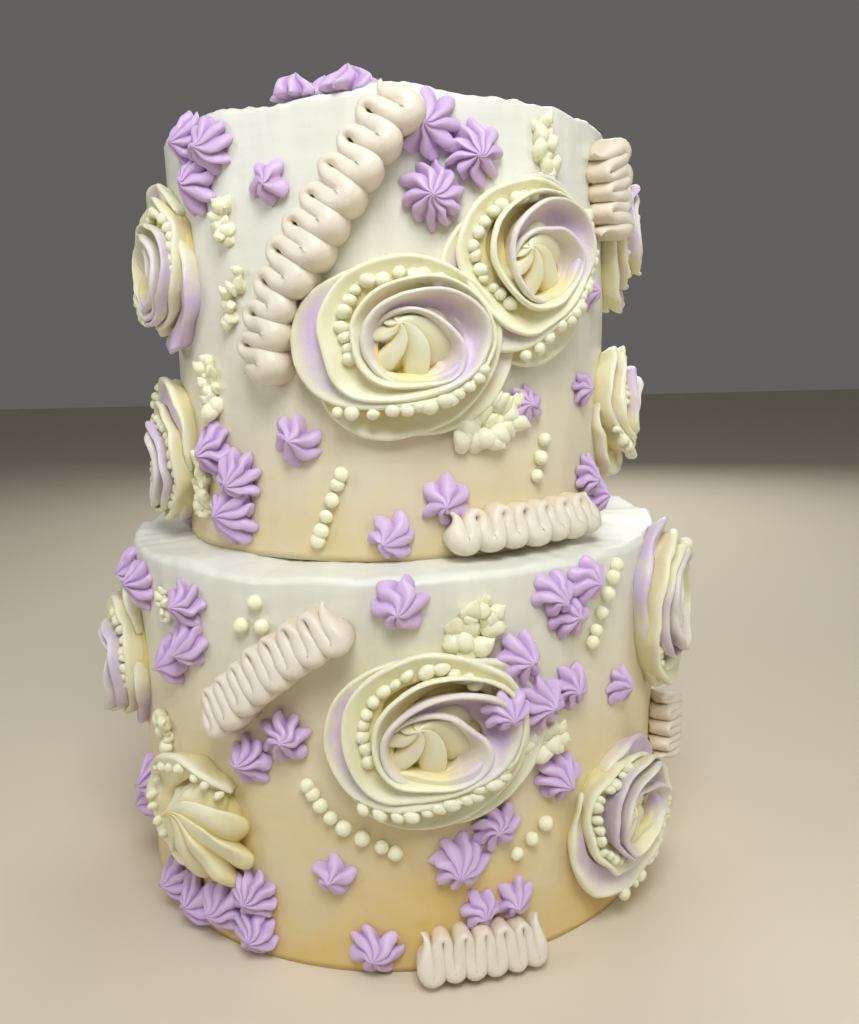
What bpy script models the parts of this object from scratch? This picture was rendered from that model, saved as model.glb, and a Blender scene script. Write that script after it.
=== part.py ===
"""A two-tier iced cake with piped rosettes, stars, ruffles, pearls and leaf tufts.

Metres, +Z up. The origin is the middle of the lower tier's foot and -Y is the front.
A place on a tier is an azimuth in degrees, 0 at the front and growing towards +X,
and a height in millimetres above that tier's own foot.
"""

import math
from typing import NamedTuple

import bmesh
import bpy
from mathutils import Vector

MM = 0.001
TURN = 2.0 * math.pi

# The tiers: an 8-inch cake with a 6-inch cake on it, each with its icing
LOWER_RADIUS = 105 * MM
LOWER_HEIGHT = 134 * MM
UPPER_RADIUS = 83 * MM
UPPER_HEIGHT = 145 * MM
TIER_SIDES = 40
RIM_ROUND = 2.5 * MM

# What touches keeps a thin gap. A piped piece's foot is this far out from the icing,
# because straight edges between the points of a wide foot dip towards the round side
SEAT_GAP = 0.3 * MM
PIPING_GAP = 0.6 * MM
ROSETTE_GAP = 1.0 * MM
TRIM_GAP = 0.5 * MM

# Piping
ROSETTE_DEPTH = 15.5 * MM
ROSETTE_RIDGES = 5
ROSETTE_TURNS = 0.85
STAR_DEPTH_SHARE = 0.5
LARGE_STAR = 18
RUFFLE_DEPTH = 12.5 * MM
PEARL_SIZE = 5.2 * MM
LEAF_DEPTH = 3.2 * MM
LEAF_SIDES = 4

# A side this round is flat, for what stands on the top
FLAT_RADIUS = 1000.0

# How far in and out a footprint reaches, and the room round a small topping in mm
FOOTPRINT_RANGE = (-3 * MM, 40 * MM)
CLEARANCE = 0.8


class Tier(NamedTuple):
    """A round tier: where its foot is, and its size."""

    name: str
    radius: float
    foot: float
    height: float


LOWER = Tier("tier_lower", LOWER_RADIUS, 0.0, LOWER_HEIGHT)
UPPER = Tier("tier_upper", UPPER_RADIUS, LOWER_HEIGHT + SEAT_GAP, UPPER_HEIGHT)


class Rosette(NamedTuple):
    """A piped rose: place, size across and up, turn in degrees and its eye's shift."""

    name: str
    tier: Tier
    azimuth: float
    height: float
    across: float
    up: float
    turn: float = 0.0
    eye: tuple = (0.0, 0.0)
    pearls: tuple = ((3, 0.60, 1),)


class Stars(NamedTuple):
    """Stars that touch: each is an azimuth, a height and a size across."""

    name: str
    tier: Tier
    places: tuple


class Ruffle(NamedTuple):
    """A folded ribbon along a curve through places, with a number of folds."""

    name: str
    tier: Tier
    places: tuple
    folds: int
    width: float


class Pearls(NamedTuple):
    """A string of pearls along a curve through places."""

    tier: Tier
    places: tuple
    count: int


class Leaves(NamedTuple):
    """A tuft of small leaves: place, length of the tuft, its direction and count."""

    tier: Tier
    azimuth: float
    height: float
    length: float
    direction: float
    count: int
    leaf: float


# The valley that the pearls lie in, where they start and how many there are
FRONT_PEARLS = ((0, 0.50, 4), (3, 0.62, 2))

ROSETTES = (
    Rosette("rosette_upper_front", UPPER, 0.5, 68, 66, 61, 200, pearls=FRONT_PEARLS),
    Rosette(
        "rosette_upper_front_right", UPPER, 29, 90, 60, 62, 250, (0.08, 0.0), FRONT_PEARLS
    ),
    Rosette("rosette_upper_left_high", UPPER, -67, 100, 50, 58, 60),
    Rosette("rosette_upper_left_low", UPPER, -74, 34, 54, 58, 120),
    Rosette("rosette_upper_right_low", UPPER, 76, 43, 48, 54, 30),
    Rosette("rosette_upper_right_high", UPPER, 84, 104, 50, 54, 300),
    Rosette("rosette_lower_front", LOWER, 4.9, 82, 70, 63, 210, pearls=FRONT_PEARLS),
    Rosette("rosette_lower_left", LOWER, -39, 44, 50, 52, 300, (-0.35, 0.3)),
    Rosette(
        "rosette_lower_right_low", LOWER, 44, 35, 56, 60, 160, (0.12, 0.05), FRONT_PEARLS
    ),
    Rosette("rosette_lower_right_high", LOWER, 67, 103, 58, 68, 240),
    Rosette("rosette_lower_left_high", LOWER, -75, 92, 50, 60, 80),
    Rosette("rosette_upper_back_left", UPPER, -146, 72, 64, 60, 140),
    Rosette("rosette_upper_back_right", UPPER, 150, 92, 60, 58, 20),
    Rosette("rosette_lower_back_left", LOWER, -132, 50, 62, 60, 320),
    Rosette("rosette_lower_back", LOWER, 176, 84, 66, 62, 110),
    Rosette("rosette_lower_back_right", LOWER, 120, 52, 60, 62, 270),
)

STARS = (
    Stars("stars_upper_left_rim", UPPER, ((-48, 136, 18), (-39, 133, 18), (-45, 122, 19))),
    Stars("star_upper_left", UPPER, ((-26, 120, 15),)),
    Stars("stars_upper_front_high", UPPER, ((9, 134, 21), (18.5, 127, 20), (9.5, 115, 21))),
    Stars("star_upper_right_high", UPPER, ((56, 86, 13),)),
    Stars("star_upper_front_left", UPPER, ((-22, 40, 17),)),
    Stars("stars_upper_left_low", UPPER, ((-48, 35, 20), (-39, 27, 20), (-41, 13.5, 21))),
    Stars("star_upper_front_right", UPPER, ((31, 49, 14),)),
    Stars("star_upper_right", UPPER, ((53, 53, 13),)),
    Stars("stars_upper_right_foot", UPPER, ((56, 21, 16), (62, 13, 17))),
    Stars("star_upper_front_low", UPPER, ((11, 20, 16),)),
    Stars("star_upper_front_foot", UPPER, ((-1, 8.5, 16),)),
    Stars("star_upper_left_foot", UPPER, ((-79, 8, 14),)),
    Stars("stars_lower_left_high", LOWER, ((-42, 121, 18.5), (-41, 108, 18), (-47, 100, 18))),
    Stars("stars_lower_left_rim", LOWER, ((-69, 124.5, 18), (-60, 121, 19))),
    Stars("star_lower_front_rim", LOWER, ((0, 127, 19),)),
    Stars("stars_lower_right_rim", LOWER, ((28, 125, 17), (35, 126.5, 17), (31, 116, 16))),
    Stars(
        "stars_lower_front_right",
        LOWER,
        ((20, 106, 17), (15.5, 93, 17), (23, 91, 18), (31.5, 92, 16)),
    ),
    Stars("star_lower_right", LOWER, ((46, 85, 14),)),
    Stars("stars_lower_front_left", LOWER, ((-21, 82, 19), (-28, 72, 18))),
    Stars("star_lower_front_right_low", LOWER, ((28.5, 62, 18),)),
    Stars("stars_lower_front_low", LOWER, ((16, 49, 17), (9.5, 40, 19))),
    Stars("star_lower_front_low", LOWER, ((-13, 35, 15),)),
    Stars("stars_lower_front_foot", LOWER, ((19.5, 22, 15), (13, 21, 15))),
    Stars("star_lower_front_foot", LOWER, ((-6, 9.5, 17),)),
    Stars(
        "stars_lower_left_foot",
        LOWER,
        ((-52, 12, 18.5), (-44.5, 10.5, 19), (-37, 14, 19), (-29.5, 9.8, 18.5), (-29, 23.5, 18.5)),
    ),
    Stars("stars_lower_left_side", LOWER, ((-66, 42, 18), (-70, 30, 18))),
    Stars("star_lower_right_foot", LOWER, ((64, 12, 16),)),
    Stars("stars_upper_back", UPPER, ((-178, 122, 20), (175, 112, 19))),
    Stars("stars_upper_back_low", UPPER, ((178, 28, 19), (-174.5, 19, 20))),
    Stars("stars_lower_back_high", LOWER, ((-146, 110, 19), (-152, 101, 19))),
    Stars("stars_lower_back_low", LOWER, ((150, 23, 19), (156, 15, 19))),
)

# Stars that stand on the top, near its edge: azimuth, distance from the axis and size
TOP_STARS = (
    ("stars_top_front", ((-19.5, 75, 20), (-8, 74, 21))),
    ("stars_top_back", ((152, 67, 19), (164, 68, 20))),
)

RUFFLES = (
    Ruffle(
        "ruffle_upper_front",
        UPPER,
        ((3, 139), (-7, 119), (-17, 100), (-25, 80), (-28, 60)),
        12,
        18,
    ),
    Ruffle("ruffle_upper_foot", UPPER, ((11, 9.8), (30, 10), (50, 10)), 8, 16),
    Ruffle("ruffle_upper_right", UPPER, ((58, 135), (62, 122), (63, 106)), 5, 17),
    Ruffle("ruffle_lower_front", LOWER, ((-34, 85), (-22, 106), (-9.5, 122)), 9, 18),
    Ruffle("ruffle_lower_foot", LOWER, ((2, 10.2), (13, 9.4), (23, 9.4)), 7, 16),
    Ruffle("ruffle_lower_right", LOWER, ((70, 66), (69, 54), (68, 42)), 4, 16),
    Ruffle("ruffle_upper_back", UPPER, ((112, 40), (124, 62), (133, 84)), 8, 17),
    Ruffle("ruffle_lower_back", LOWER, ((-176, 16), (-166, 12), (-156, 12)), 7, 17),
    Ruffle("ruffle_lower_side", LOWER, ((-98, 40), (-104, 62), (-106, 84)), 7, 17),
)

PEARLS = (
    Pearls(UPPER, ((-12, 29), (-18, 7)), 5),
    Pearls(UPPER, ((37, 37), (34.5, 27)), 2),
    Pearls(LOWER, ((-25, 129), (-27, 118)), 3),
    Pearls(LOWER, ((-22, 121), (-23, 112)), 2),
    Pearls(LOWER, ((-17, 66), (-12, 54), (-2, 44)), 6),
    Pearls(LOWER, ((20, 38), (26, 46)), 3),
    Pearls(LOWER, ((44, 129), (37, 105)), 5),
    Pearls(UPPER, ((-112, 112), (-107, 98)), 3),
    Pearls(LOWER, ((-120, 122), (-125, 108)), 3),
    Pearls(LOWER, ((140, 122), (144, 108)), 3),
)

LEAVES = (
    Leaves(UPPER, 37, 129, 18, 100, 4, 7),
    Leaves(UPPER, 20.5, 45, 14, 20, 5, 9),
    Leaves(UPPER, -38, 85, 18, 65, 4, 6),
    Leaves(UPPER, -48, 57, 10, 90, 3, 8),
    Leaves(LOWER, 12, 119, 12, 60, 4, 8),
    Leaves(LOWER, 24, 75, 9, 20, 3, 8),
    Leaves(LOWER, -53, 71, 10, 90, 3, 7),
    Leaves(UPPER, 170, 60, 16, 110, 4, 8),
    Leaves(LOWER, -160, 62, 14, 60, 4, 8),
    Leaves(LOWER, 92, 78, 14, 80, 4, 8),
)


def clear_scene():
    """Remove every object that the file opened with."""
    for obj in list(bpy.data.objects):
        bpy.data.objects.remove(obj, do_unlink=True)


def icing(name, color, roughness):
    """A matt icing material."""
    material = bpy.data.materials.new(name)
    material.use_nodes = True
    shader = material.node_tree.nodes["Principled BSDF"]
    shader.inputs["Base Color"].default_value = (*color, 1.0)
    shader.inputs["Roughness"].default_value = roughness
    shader.inputs["Metallic"].default_value = 0.0
    return material


def make_object(name, bm, material):
    """Turn a bmesh into a named object in the scene."""
    bmesh.ops.recalc_face_normals(bm, faces=bm.faces)
    mesh = bpy.data.meshes.new(name)
    bm.to_mesh(mesh)
    bm.free()
    if material:
        mesh.materials.append(material)
    obj = bpy.data.objects.new(name, mesh)
    bpy.context.scene.collection.objects.link(obj)
    return obj


def on_side(radius, across, up, out):
    """A local point of a piece piped on a round side of this radius."""
    angle = across / radius
    reach = radius + out
    return Vector((reach * math.sin(angle), radius - reach * math.cos(angle), up))


def place_on_tier(obj, tier, azimuth, height):
    """Put a piece at its place on a tier's side."""
    angle = math.radians(azimuth)
    x = tier.radius * math.sin(angle)
    y = -tier.radius * math.cos(angle)
    obj.location = (x, y, tier.foot + height * MM)
    obj.rotation_euler = (0.0, 0.0, angle)


def place_on_top(obj, azimuth, distance):
    """Stand a piece on the cake's top, facing up."""
    angle = math.radians(azimuth)
    top = UPPER.foot + UPPER.height
    obj.location = (distance * MM * math.sin(angle), -distance * MM * math.cos(angle), top)
    obj.rotation_euler = (-math.pi / 2.0, 0.0, angle)


def add_loft(bm, rings, start, end):
    """Bridge closed rings of points, and close both ends with a fan round a point."""
    loops = [[bm.verts.new(point) for point in ring] for ring in rings]
    count = len(loops[0])
    for near, far in zip(loops, loops[1:]):
        for i in range(count):
            j = (i + 1) % count
            bm.faces.new((near[i], near[j], far[j], far[i]))
    for loop, point in ((loops[0], start), (loops[-1], end)):
        middle = bm.verts.new(point)
        for i in range(count):
            bm.faces.new((loop[i], loop[(i + 1) % count], middle))


def boolean(obj, others, operation):
    """Join or cut an object with others, which are then removed."""
    tools = bpy.data.collections.new("tools")
    bpy.context.scene.collection.children.link(tools)
    for other in others:
        for collection in list(other.users_collection):
            collection.objects.unlink(other)
        tools.objects.link(other)
    modifier = obj.modifiers.new("join", "BOOLEAN")
    modifier.operand_type = "COLLECTION"
    modifier.collection = tools
    modifier.operation = operation
    modifier.solver = "EXACT"
    graph = bpy.context.evaluated_depsgraph_get()
    mesh = bpy.data.meshes.new_from_object(obj.evaluated_get(graph))
    obj.modifiers.remove(modifier)
    obj.data = mesh
    for other in others:
        bpy.data.objects.remove(other, do_unlink=True)
    bpy.data.collections.remove(tools)


def keep_largest_body(obj):
    """Drop loose scraps and sealed hollows that a cut or a join left."""
    bm = bmesh.new()
    bm.from_mesh(obj.data)
    left = set(bm.verts)
    bodies = []
    while left:
        stack = [left.pop()]
        body = set(stack)
        while stack:
            for edge in stack.pop().link_edges:
                for vert in edge.verts:
                    if vert in left:
                        left.remove(vert)
                        body.add(vert)
                        stack.append(vert)
        bodies.append(body)
    main = max(bodies, key=len)
    scraps = [vert for vert in bm.verts if vert not in main]
    bmesh.ops.delete(bm, geom=scraps, context="VERTS")
    bm.to_mesh(obj.data)
    bm.free()


def curve_point(places, share):
    """A point of the smooth curve through places, at a share of the way along it."""
    spans = len(places) - 1
    position = min(max(share, 0.0), 1.0) * spans
    i = min(int(position), spans - 1)
    t = position - i
    before = Vector(places[max(i - 1, 0)])
    start = Vector(places[i])
    end = Vector(places[i + 1])
    after = Vector(places[min(i + 2, spans)])
    leave = (end - before) * 0.5
    arrive = (after - start) * 0.5
    return (
        start * (2 * t**3 - 3 * t**2 + 1)
        + leave * (t**3 - 2 * t**2 + t)
        + end * (3 * t**2 - 2 * t**3)
        + arrive * (t**3 - t**2)
    )


def side_places(tier, places, middle):
    """Places as distances across and up the tier's side from a middle place."""
    return [
        (math.radians(azimuth - middle[0]) * tier.radius, (height - middle[1]) * MM)
        for azimuth, height in places
    ]


def build_tier(tier, material):
    """A tier: a cylinder with its top edge rounded."""
    bm = bmesh.new()
    bmesh.ops.create_cone(
        bm,
        cap_ends=True,
        segments=TIER_SIDES,
        radius1=tier.radius,
        radius2=tier.radius,
        depth=tier.height,
    )
    bmesh.ops.translate(bm, verts=bm.verts, vec=(0.0, 0.0, tier.height / 2.0))
    rim = [e for e in bm.edges if all(v.co.z > tier.height * 0.5 for v in e.verts)]
    bmesh.ops.bevel(bm, geom=rim, offset=RIM_ROUND, segments=1, affect="EDGES")
    obj = make_object(tier.name, bm, material)
    obj.location.z = tier.foot
    return obj


# Rosette sections from its eye to its foot: share of the radius, and the depth of a
# ridge and of the valley beside it as shares of the rosette's depth
ROSETTE_PROFILE = (
    (0.12, 0.72, 0.52),
    (0.28, 0.88, 0.58),
    (0.45, 0.99, 0.65),
    (0.62, 0.97, 0.63),
    (0.79, 0.82, 0.48),
    (0.94, 0.56, 0.28),
    (1.00, 0.30, 0.14),
)
ROSETTE_EYE_DEPTH = 0.6


def rosette_point(rosette, section, column):
    """Across, up and out of one point: even columns are ridges, odd ones valleys."""
    share, ridge, valley = section
    is_valley = column % 2
    depth = valley if is_valley else ridge
    reach = share * (0.93 if is_valley else 1.0)
    step = TURN / (2 * ROSETTE_RIDGES)
    lean = -0.35 * step if is_valley else 0.0
    angle = math.radians(rosette.turn) + column * step + lean - ROSETTE_TURNS * TURN * share
    fade = 1.0 - share
    across = rosette.across * MM / 2.0 * (reach * math.cos(angle) + fade * rosette.eye[0])
    up = rosette.up * MM / 2.0 * (reach * math.sin(angle) + fade * rosette.eye[1])
    return across, up, depth * ROSETTE_DEPTH


def build_rosette(rosette, material):
    """A swirl of ridges that start at the eye and wind out to the rim."""
    radius = rosette.tier.radius
    columns = range(2 * ROSETTE_RIDGES)
    rings = []
    for section in ROSETTE_PROFILE:
        points = [rosette_point(rosette, section, column) for column in columns]
        rings.append([on_side(radius, *point) for point in points])
    rim = [rosette_point(rosette, ROSETTE_PROFILE[-1], column) for column in columns]
    for share in (0.94, 0.5):
        rings.append([on_side(radius, a * share, u * share, ROSETTE_GAP) for a, u, _ in rim])
    eye_across = rosette.across * MM / 2.0 * rosette.eye[0]
    eye_up = rosette.up * MM / 2.0 * rosette.eye[1]
    eye = on_side(radius, eye_across, eye_up, ROSETTE_EYE_DEPTH * ROSETTE_DEPTH)
    bm = bmesh.new()
    add_loft(bm, rings, eye, on_side(radius, 0.0, 0.0, ROSETTE_GAP))
    obj = make_object(rosette.name, bm, material)
    place_on_tier(obj, rosette.tier, rosette.azimuth, rosette.height)
    return obj


def rosette_pearls(rosette, material):
    """Pearls that lie along the valleys of a rosette."""
    pearls = []
    for ridge, start, count in rosette.pearls:
        for i in range(count):
            share = start + i * 0.045
            upper = next(s for s in ROSETTE_PROFILE if s[0] >= share)
            lower = ROSETTE_PROFILE[ROSETTE_PROFILE.index(upper) - 1]
            mix = (share - lower[0]) / (upper[0] - lower[0])
            section = tuple(a + (b - a) * mix for a, b in zip(lower, upper))
            across, up, out = rosette_point(rosette, section, 2 * ridge + 1)
            point = on_side(rosette.tier.radius, across, up, out + PEARL_SIZE * 0.3)
            pearls.append(build_pearl(rosette.tier, point, material))
            place_on_tier(pearls[-1], rosette.tier, rosette.azimuth, rosette.height)
    return pearls


def build_pearl(tier, point, material):
    """A small ball of icing."""
    bm = bmesh.new()
    bmesh.ops.create_icosphere(bm, subdivisions=1, radius=PEARL_SIZE / 2.0)
    bmesh.ops.translate(bm, verts=bm.verts, vec=point)
    return make_object("pearl", bm, material)


def star_mesh(name, radius, size, material):
    """A star: sharp ridges that swell from its foot and meet in a point."""
    ridges = 7 if size >= LARGE_STAR else 6
    reach = size * MM / 2.0
    depth = size * MM * STAR_DEPTH_SHARE
    sections = ((0.84, PIPING_GAP, 0.72), (1.0, depth * 0.42, 0.68))
    rings = []
    for share, out, valley in sections:
        ring = []
        for i in range(2 * ridges):
            distance = reach * share * (valley if i % 2 else 1.0)
            angle = TURN * i / (2 * ridges)
            ring.append(
                on_side(radius, distance * math.cos(angle), distance * math.sin(angle), out)
            )
        rings.append(ring)
    bm = bmesh.new()
    foot = on_side(radius, 0.0, 0.0, PIPING_GAP)
    add_loft(bm, rings, foot, on_side(radius, 0.0, 0.0, depth))
    return make_object(name, bm, material)


def build_stars(group, material):
    """The stars of one group, joined where they touch."""
    stars = []
    for azimuth, height, size in group.places:
        star = star_mesh(group.name, group.tier.radius, size, material)
        place_on_tier(star, group.tier, azimuth, height)
        stars.append(star)
    if len(stars) > 1:
        boolean(stars[0], stars[1:], "UNION")
    stars[0].name = group.name
    return stars[0]


def build_top_stars(name, places, material):
    """Stars that stand on the top, joined where they touch."""
    stars = []
    for azimuth, distance, size in places:
        star = star_mesh(name, FLAT_RADIUS, size, material)
        place_on_top(star, azimuth, distance)
        stars.append(star)
    boolean(stars[0], stars[1:], "UNION")
    stars[0].name = name
    return stars[0]


def build_ruffle(ruffle, material):
    """A ribbon folded to and fro: it is high and wide at each fold."""
    tier = ruffle.tier
    middle = ruffle.places[len(ruffle.places) // 2]
    places = side_places(tier, ruffle.places, middle)
    steps = 2 * ruffle.folds
    half = ruffle.width * MM / 2.0
    rings = []
    for i in range(steps + 1):
        share = i / steps
        here = curve_point(places, share)
        ahead = curve_point(places, share + 0.02) - curve_point(places, share - 0.02)
        side = Vector((ahead.y, -ahead.x)).normalized()
        fold = 0.0 if i % 2 == 0 else 1.0
        end = 0.62 if i in (0, steps) else 1.0
        wide = half * (0.86 + 0.14 * fold) * end
        deep = RUFFLE_DEPTH * (0.62 + 0.38 * fold) * end
        section = (
            (-0.94 * wide, PIPING_GAP),
            (-wide, 0.45 * deep),
            (-0.45 * wide, deep),
            (0.45 * wide, deep),
            (wide, 0.45 * deep),
            (0.94 * wide, PIPING_GAP),
        )
        rings.append(
            [on_side(tier.radius, *(here + side * offset), out) for offset, out in section]
        )
    ends = []
    for share in (0.0, 1.0):
        ends.append(on_side(tier.radius, *curve_point(places, share), 0.3 * RUFFLE_DEPTH))
    bm = bmesh.new()
    add_loft(bm, rings, *ends)
    obj = make_object(ruffle.name, bm, material)
    place_on_tier(obj, tier, *middle)
    return obj


def string_pearls(string, pieces, material):
    """The pearls of one string on a tier's side, half sunk in the icing."""
    pearls = []
    for i in range(string.count):
        share = i / (string.count - 1)
        azimuth, height = curve_point(string.places, share)
        if not is_clear(string.tier, azimuth, height, PEARL_SIZE / MM, pieces):
            continue
        point = on_side(string.tier.radius, 0.0, 0.0, PEARL_SIZE * 0.22)
        pearls.append(build_pearl(string.tier, point, material))
        place_on_tier(pearls[-1], string.tier, azimuth, height)
    return pearls


def build_leaf(tier, azimuth, height, length, direction, material):
    """A small pointed leaf that lies on a tier's side."""
    along = Vector((math.cos(direction), math.sin(direction)))
    side = Vector((-along.y, along.x))
    half = length * MM / 2.0
    ring = []
    for i in range(LEAF_SIDES):
        angle = TURN * i / LEAF_SIDES
        spot = along * (-0.2 * half) + side * (0.52 * half * math.cos(angle))
        ring.append(on_side(tier.radius, spot.x, spot.y, LEAF_DEPTH * math.sin(angle)))
    bm = bmesh.new()
    heel = along * -half
    tip = along * half
    add_loft(
        bm,
        [ring],
        on_side(tier.radius, heel.x, heel.y, 0.0),
        on_side(tier.radius, tip.x, tip.y, 0.25 * LEAF_DEPTH),
    )
    leaf = make_object("leaf", bm, material)
    place_on_tier(leaf, tier, azimuth, height)
    return leaf


def tuft_leaves(tuft, pieces, material):
    """The leaves of one tuft, in pairs that point forwards along its stem."""
    leaves = []
    stem = math.radians(tuft.direction)
    per_degree = math.radians(1.0) * tuft.tier.radius / MM
    for i in range(tuft.count):
        share = i / max(tuft.count - 1, 1) - 0.5
        turn = 0.7 if i % 2 else -0.7
        offset = 0.42 * tuft.leaf * (1 if i % 2 else -1)
        across = tuft.length * share * math.cos(stem) - offset * math.sin(stem)
        up = tuft.length * share * math.sin(stem) + offset * math.cos(stem)
        place = (tuft.azimuth + across / per_degree, tuft.height + up, tuft.leaf)
        if is_clear(tuft.tier, *place, pieces):
            leaves.append(build_leaf(tuft.tier, *place, stem + turn, material))
    return leaves


def footprint(tier, azimuth, height, across, up):
    """A prism that stands on a tier's side over a round piece, used to trim others."""
    sides = 20
    reach_across = across * MM / 2.0 + TRIM_GAP
    reach_up = up * MM / 2.0 + TRIM_GAP
    bm = bmesh.new()
    loops = []
    for out in FOOTPRINT_RANGE:
        loop = []
        for i in range(sides):
            angle = TURN * i / sides
            spot = (reach_across * math.cos(angle), reach_up * math.sin(angle))
            loop.append(bm.verts.new(on_side(tier.radius, *spot, out)))
        loops.append(loop)
        bm.faces.new(loop)
    for i in range(sides):
        j = (i + 1) % sides
        bm.faces.new((loops[0][i], loops[0][j], loops[1][j], loops[1][i]))
    prism = make_object("footprint", bm, None)
    place_on_tier(prism, tier, azimuth, height)
    return prism


def discs(piece):
    """The places that a piece covers: azimuth, height, size across and size up."""
    if isinstance(piece, Rosette):
        return [(piece.azimuth, piece.height, piece.across, piece.up)]
    if isinstance(piece, Stars):
        return [(*place, place[-1]) for place in piece.places]
    steps = 4 * piece.folds
    spots = [curve_point(piece.places, i / steps) for i in range(steps + 1)]
    return [(spot.x, spot.y, piece.width, piece.width) for spot in spots]


def is_near(tier, disc, other, gap=0.0):
    """Whether two discs on one tier overlap, or come nearer than a gap."""
    across = math.radians(disc[0] - other[0]) * tier.radius / MM
    up = disc[1] - other[1]
    return math.hypot(across, up) < (max(disc[2:]) + max(other[2:])) / 2.0 + gap


def discs_over(piece, others):
    """The discs of other pieces on the same tier that reach over a piece."""
    found = []
    for other in others:
        if other.tier is not piece.tier:
            continue
        for disc in discs(other):
            if any(is_near(piece.tier, disc, own) for own in discs(piece)):
                found.append(disc)
    return found


def trim(obj, piece, others):
    """Cut a piece back to the edges of those that lie over it."""
    over = discs_over(piece, others)
    if over:
        boolean(obj, [footprint(piece.tier, *disc) for disc in over], "DIFFERENCE")
        keep_largest_body(obj)


def is_clear(tier, azimuth, height, size, pieces):
    """Whether a small topping on a tier's side is clear of every piped piece."""
    spot = (azimuth, height, size, size)
    return not any(
        is_near(tier, spot, disc, CLEARANCE)
        for piece in pieces
        if piece.tier is tier
        for disc in discs(piece)
    )


def build_cake_tier(tier, pieces, cream, leaf_cream):
    """A tier with its pearls and leaf tufts joined to it."""
    body = build_tier(tier, cream)
    toppings = []
    for string in PEARLS:
        if string.tier is tier:
            toppings += string_pearls(string, pieces, leaf_cream)
    for tuft in LEAVES:
        if tuft.tier is tier:
            toppings += tuft_leaves(tuft, pieces, leaf_cream)
    boolean(body, toppings, "UNION")
    keep_largest_body(body)


def main():
    """Build the cake: the stars lie over the rosettes, and those over the ruffles."""
    clear_scene()
    cream = icing("icing", (0.83, 0.80, 0.62), 0.5)
    rose_cream = icing("rosette_icing", (0.84, 0.81, 0.58), 0.45)
    leaf_cream = icing("leaf_icing", (0.84, 0.82, 0.50), 0.45)
    lilac = icing("lilac_icing", (0.55, 0.40, 0.60), 0.5)
    pink_cream = icing("ruffle_icing", (0.78, 0.70, 0.58), 0.5)

    for tier in (LOWER, UPPER):
        build_cake_tier(tier, ROSETTES + STARS + RUFFLES, cream, leaf_cream)
    for group in STARS:
        build_stars(group, lilac)
    for name, places in TOP_STARS:
        build_top_stars(name, places, lilac)
    for i, rosette in enumerate(ROSETTES):
        obj = build_rosette(rosette, rose_cream)
        boolean(obj, rosette_pearls(rosette, leaf_cream), "UNION")
        keep_largest_body(obj)
        trim(obj, rosette, ROSETTES[i + 1 :] + STARS)
    for ruffle in RUFFLES:
        trim(build_ruffle(ruffle, pink_cream), ruffle, ROSETTES + STARS)


if __name__ == "__main__":
    main()
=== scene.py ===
"""A two-tier iced cake with piped rosettes, stars, ruffles, pearls and leaf tufts.

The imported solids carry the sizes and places, and each piece here stands for one of them.
Lengths are in metres, and layout rows are in millimetres. A place on a tier is an azimuth in
degrees, 0 at the front and growing towards +X, and a height above that tier's own foot.
"""

import math
import random
from typing import NamedTuple

import bpy
import numpy as np
from mathutils import Matrix, Vector, noise


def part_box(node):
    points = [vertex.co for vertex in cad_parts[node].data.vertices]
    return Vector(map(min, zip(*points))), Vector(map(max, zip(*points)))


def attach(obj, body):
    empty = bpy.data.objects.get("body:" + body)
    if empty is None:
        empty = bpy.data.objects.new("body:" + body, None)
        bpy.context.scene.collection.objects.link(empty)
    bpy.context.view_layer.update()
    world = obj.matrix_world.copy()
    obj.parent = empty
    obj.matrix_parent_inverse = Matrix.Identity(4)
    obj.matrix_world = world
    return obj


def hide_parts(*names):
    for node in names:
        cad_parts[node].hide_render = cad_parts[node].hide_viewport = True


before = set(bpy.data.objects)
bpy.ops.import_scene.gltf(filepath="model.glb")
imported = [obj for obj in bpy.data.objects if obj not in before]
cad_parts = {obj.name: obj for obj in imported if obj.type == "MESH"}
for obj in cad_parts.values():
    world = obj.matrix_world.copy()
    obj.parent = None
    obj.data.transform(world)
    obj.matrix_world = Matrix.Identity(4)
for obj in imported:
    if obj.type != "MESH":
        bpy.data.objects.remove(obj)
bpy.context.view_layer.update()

bl_info = {
    "name": "Piped Tier Cake",
    "version": (1, 0, 0),
    "blender": (4, 5, 0),
    "location": "View3D > Sidebar > Cake",
    "description": "Builds a two-tier iced cake with piped decorations",
    "category": "Object",
}

MM = 0.001
TURN = 2.0 * math.pi
FLOOR_GAP = 0.3 * MM
# How far a piped piece reaches into the icing that it sticks to
SINK = 0.8 * MM
NOISE_SEED = 7


class Tier(NamedTuple):
    """A round tier: its node, its icing's radius, where its foot is and its height."""

    node: str
    radius: float
    foot: float
    height: float


LOWER = Tier("tier_lower", 105 * MM, 0.0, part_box("tier_lower")[1].z)
UPPER = Tier(
    "tier_upper",
    83 * MM,
    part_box("tier_upper")[0].z,
    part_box("tier_upper")[1].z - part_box("tier_upper")[0].z,
)


class Rosette(NamedTuple):
    """A piped rose: place, size, turn in degrees, how wavy it is and its eye's shift."""

    node: str
    tier: Tier
    azimuth: float
    height: float
    across: float
    up: float
    turn: float = 0.0
    unrest: float = 3.4
    shift: tuple = (0.0, 0.0)


class Stars(NamedTuple):
    """Stars that touch: azimuth, height, size across, ridges and any lift from the side."""

    node: str
    tier: Tier
    places: tuple


class Ruffle(NamedTuple):
    """A folded ribbon along a curve through places, with a number of folds."""

    node: str
    tier: Tier
    places: tuple
    folds: int
    width: float


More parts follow.
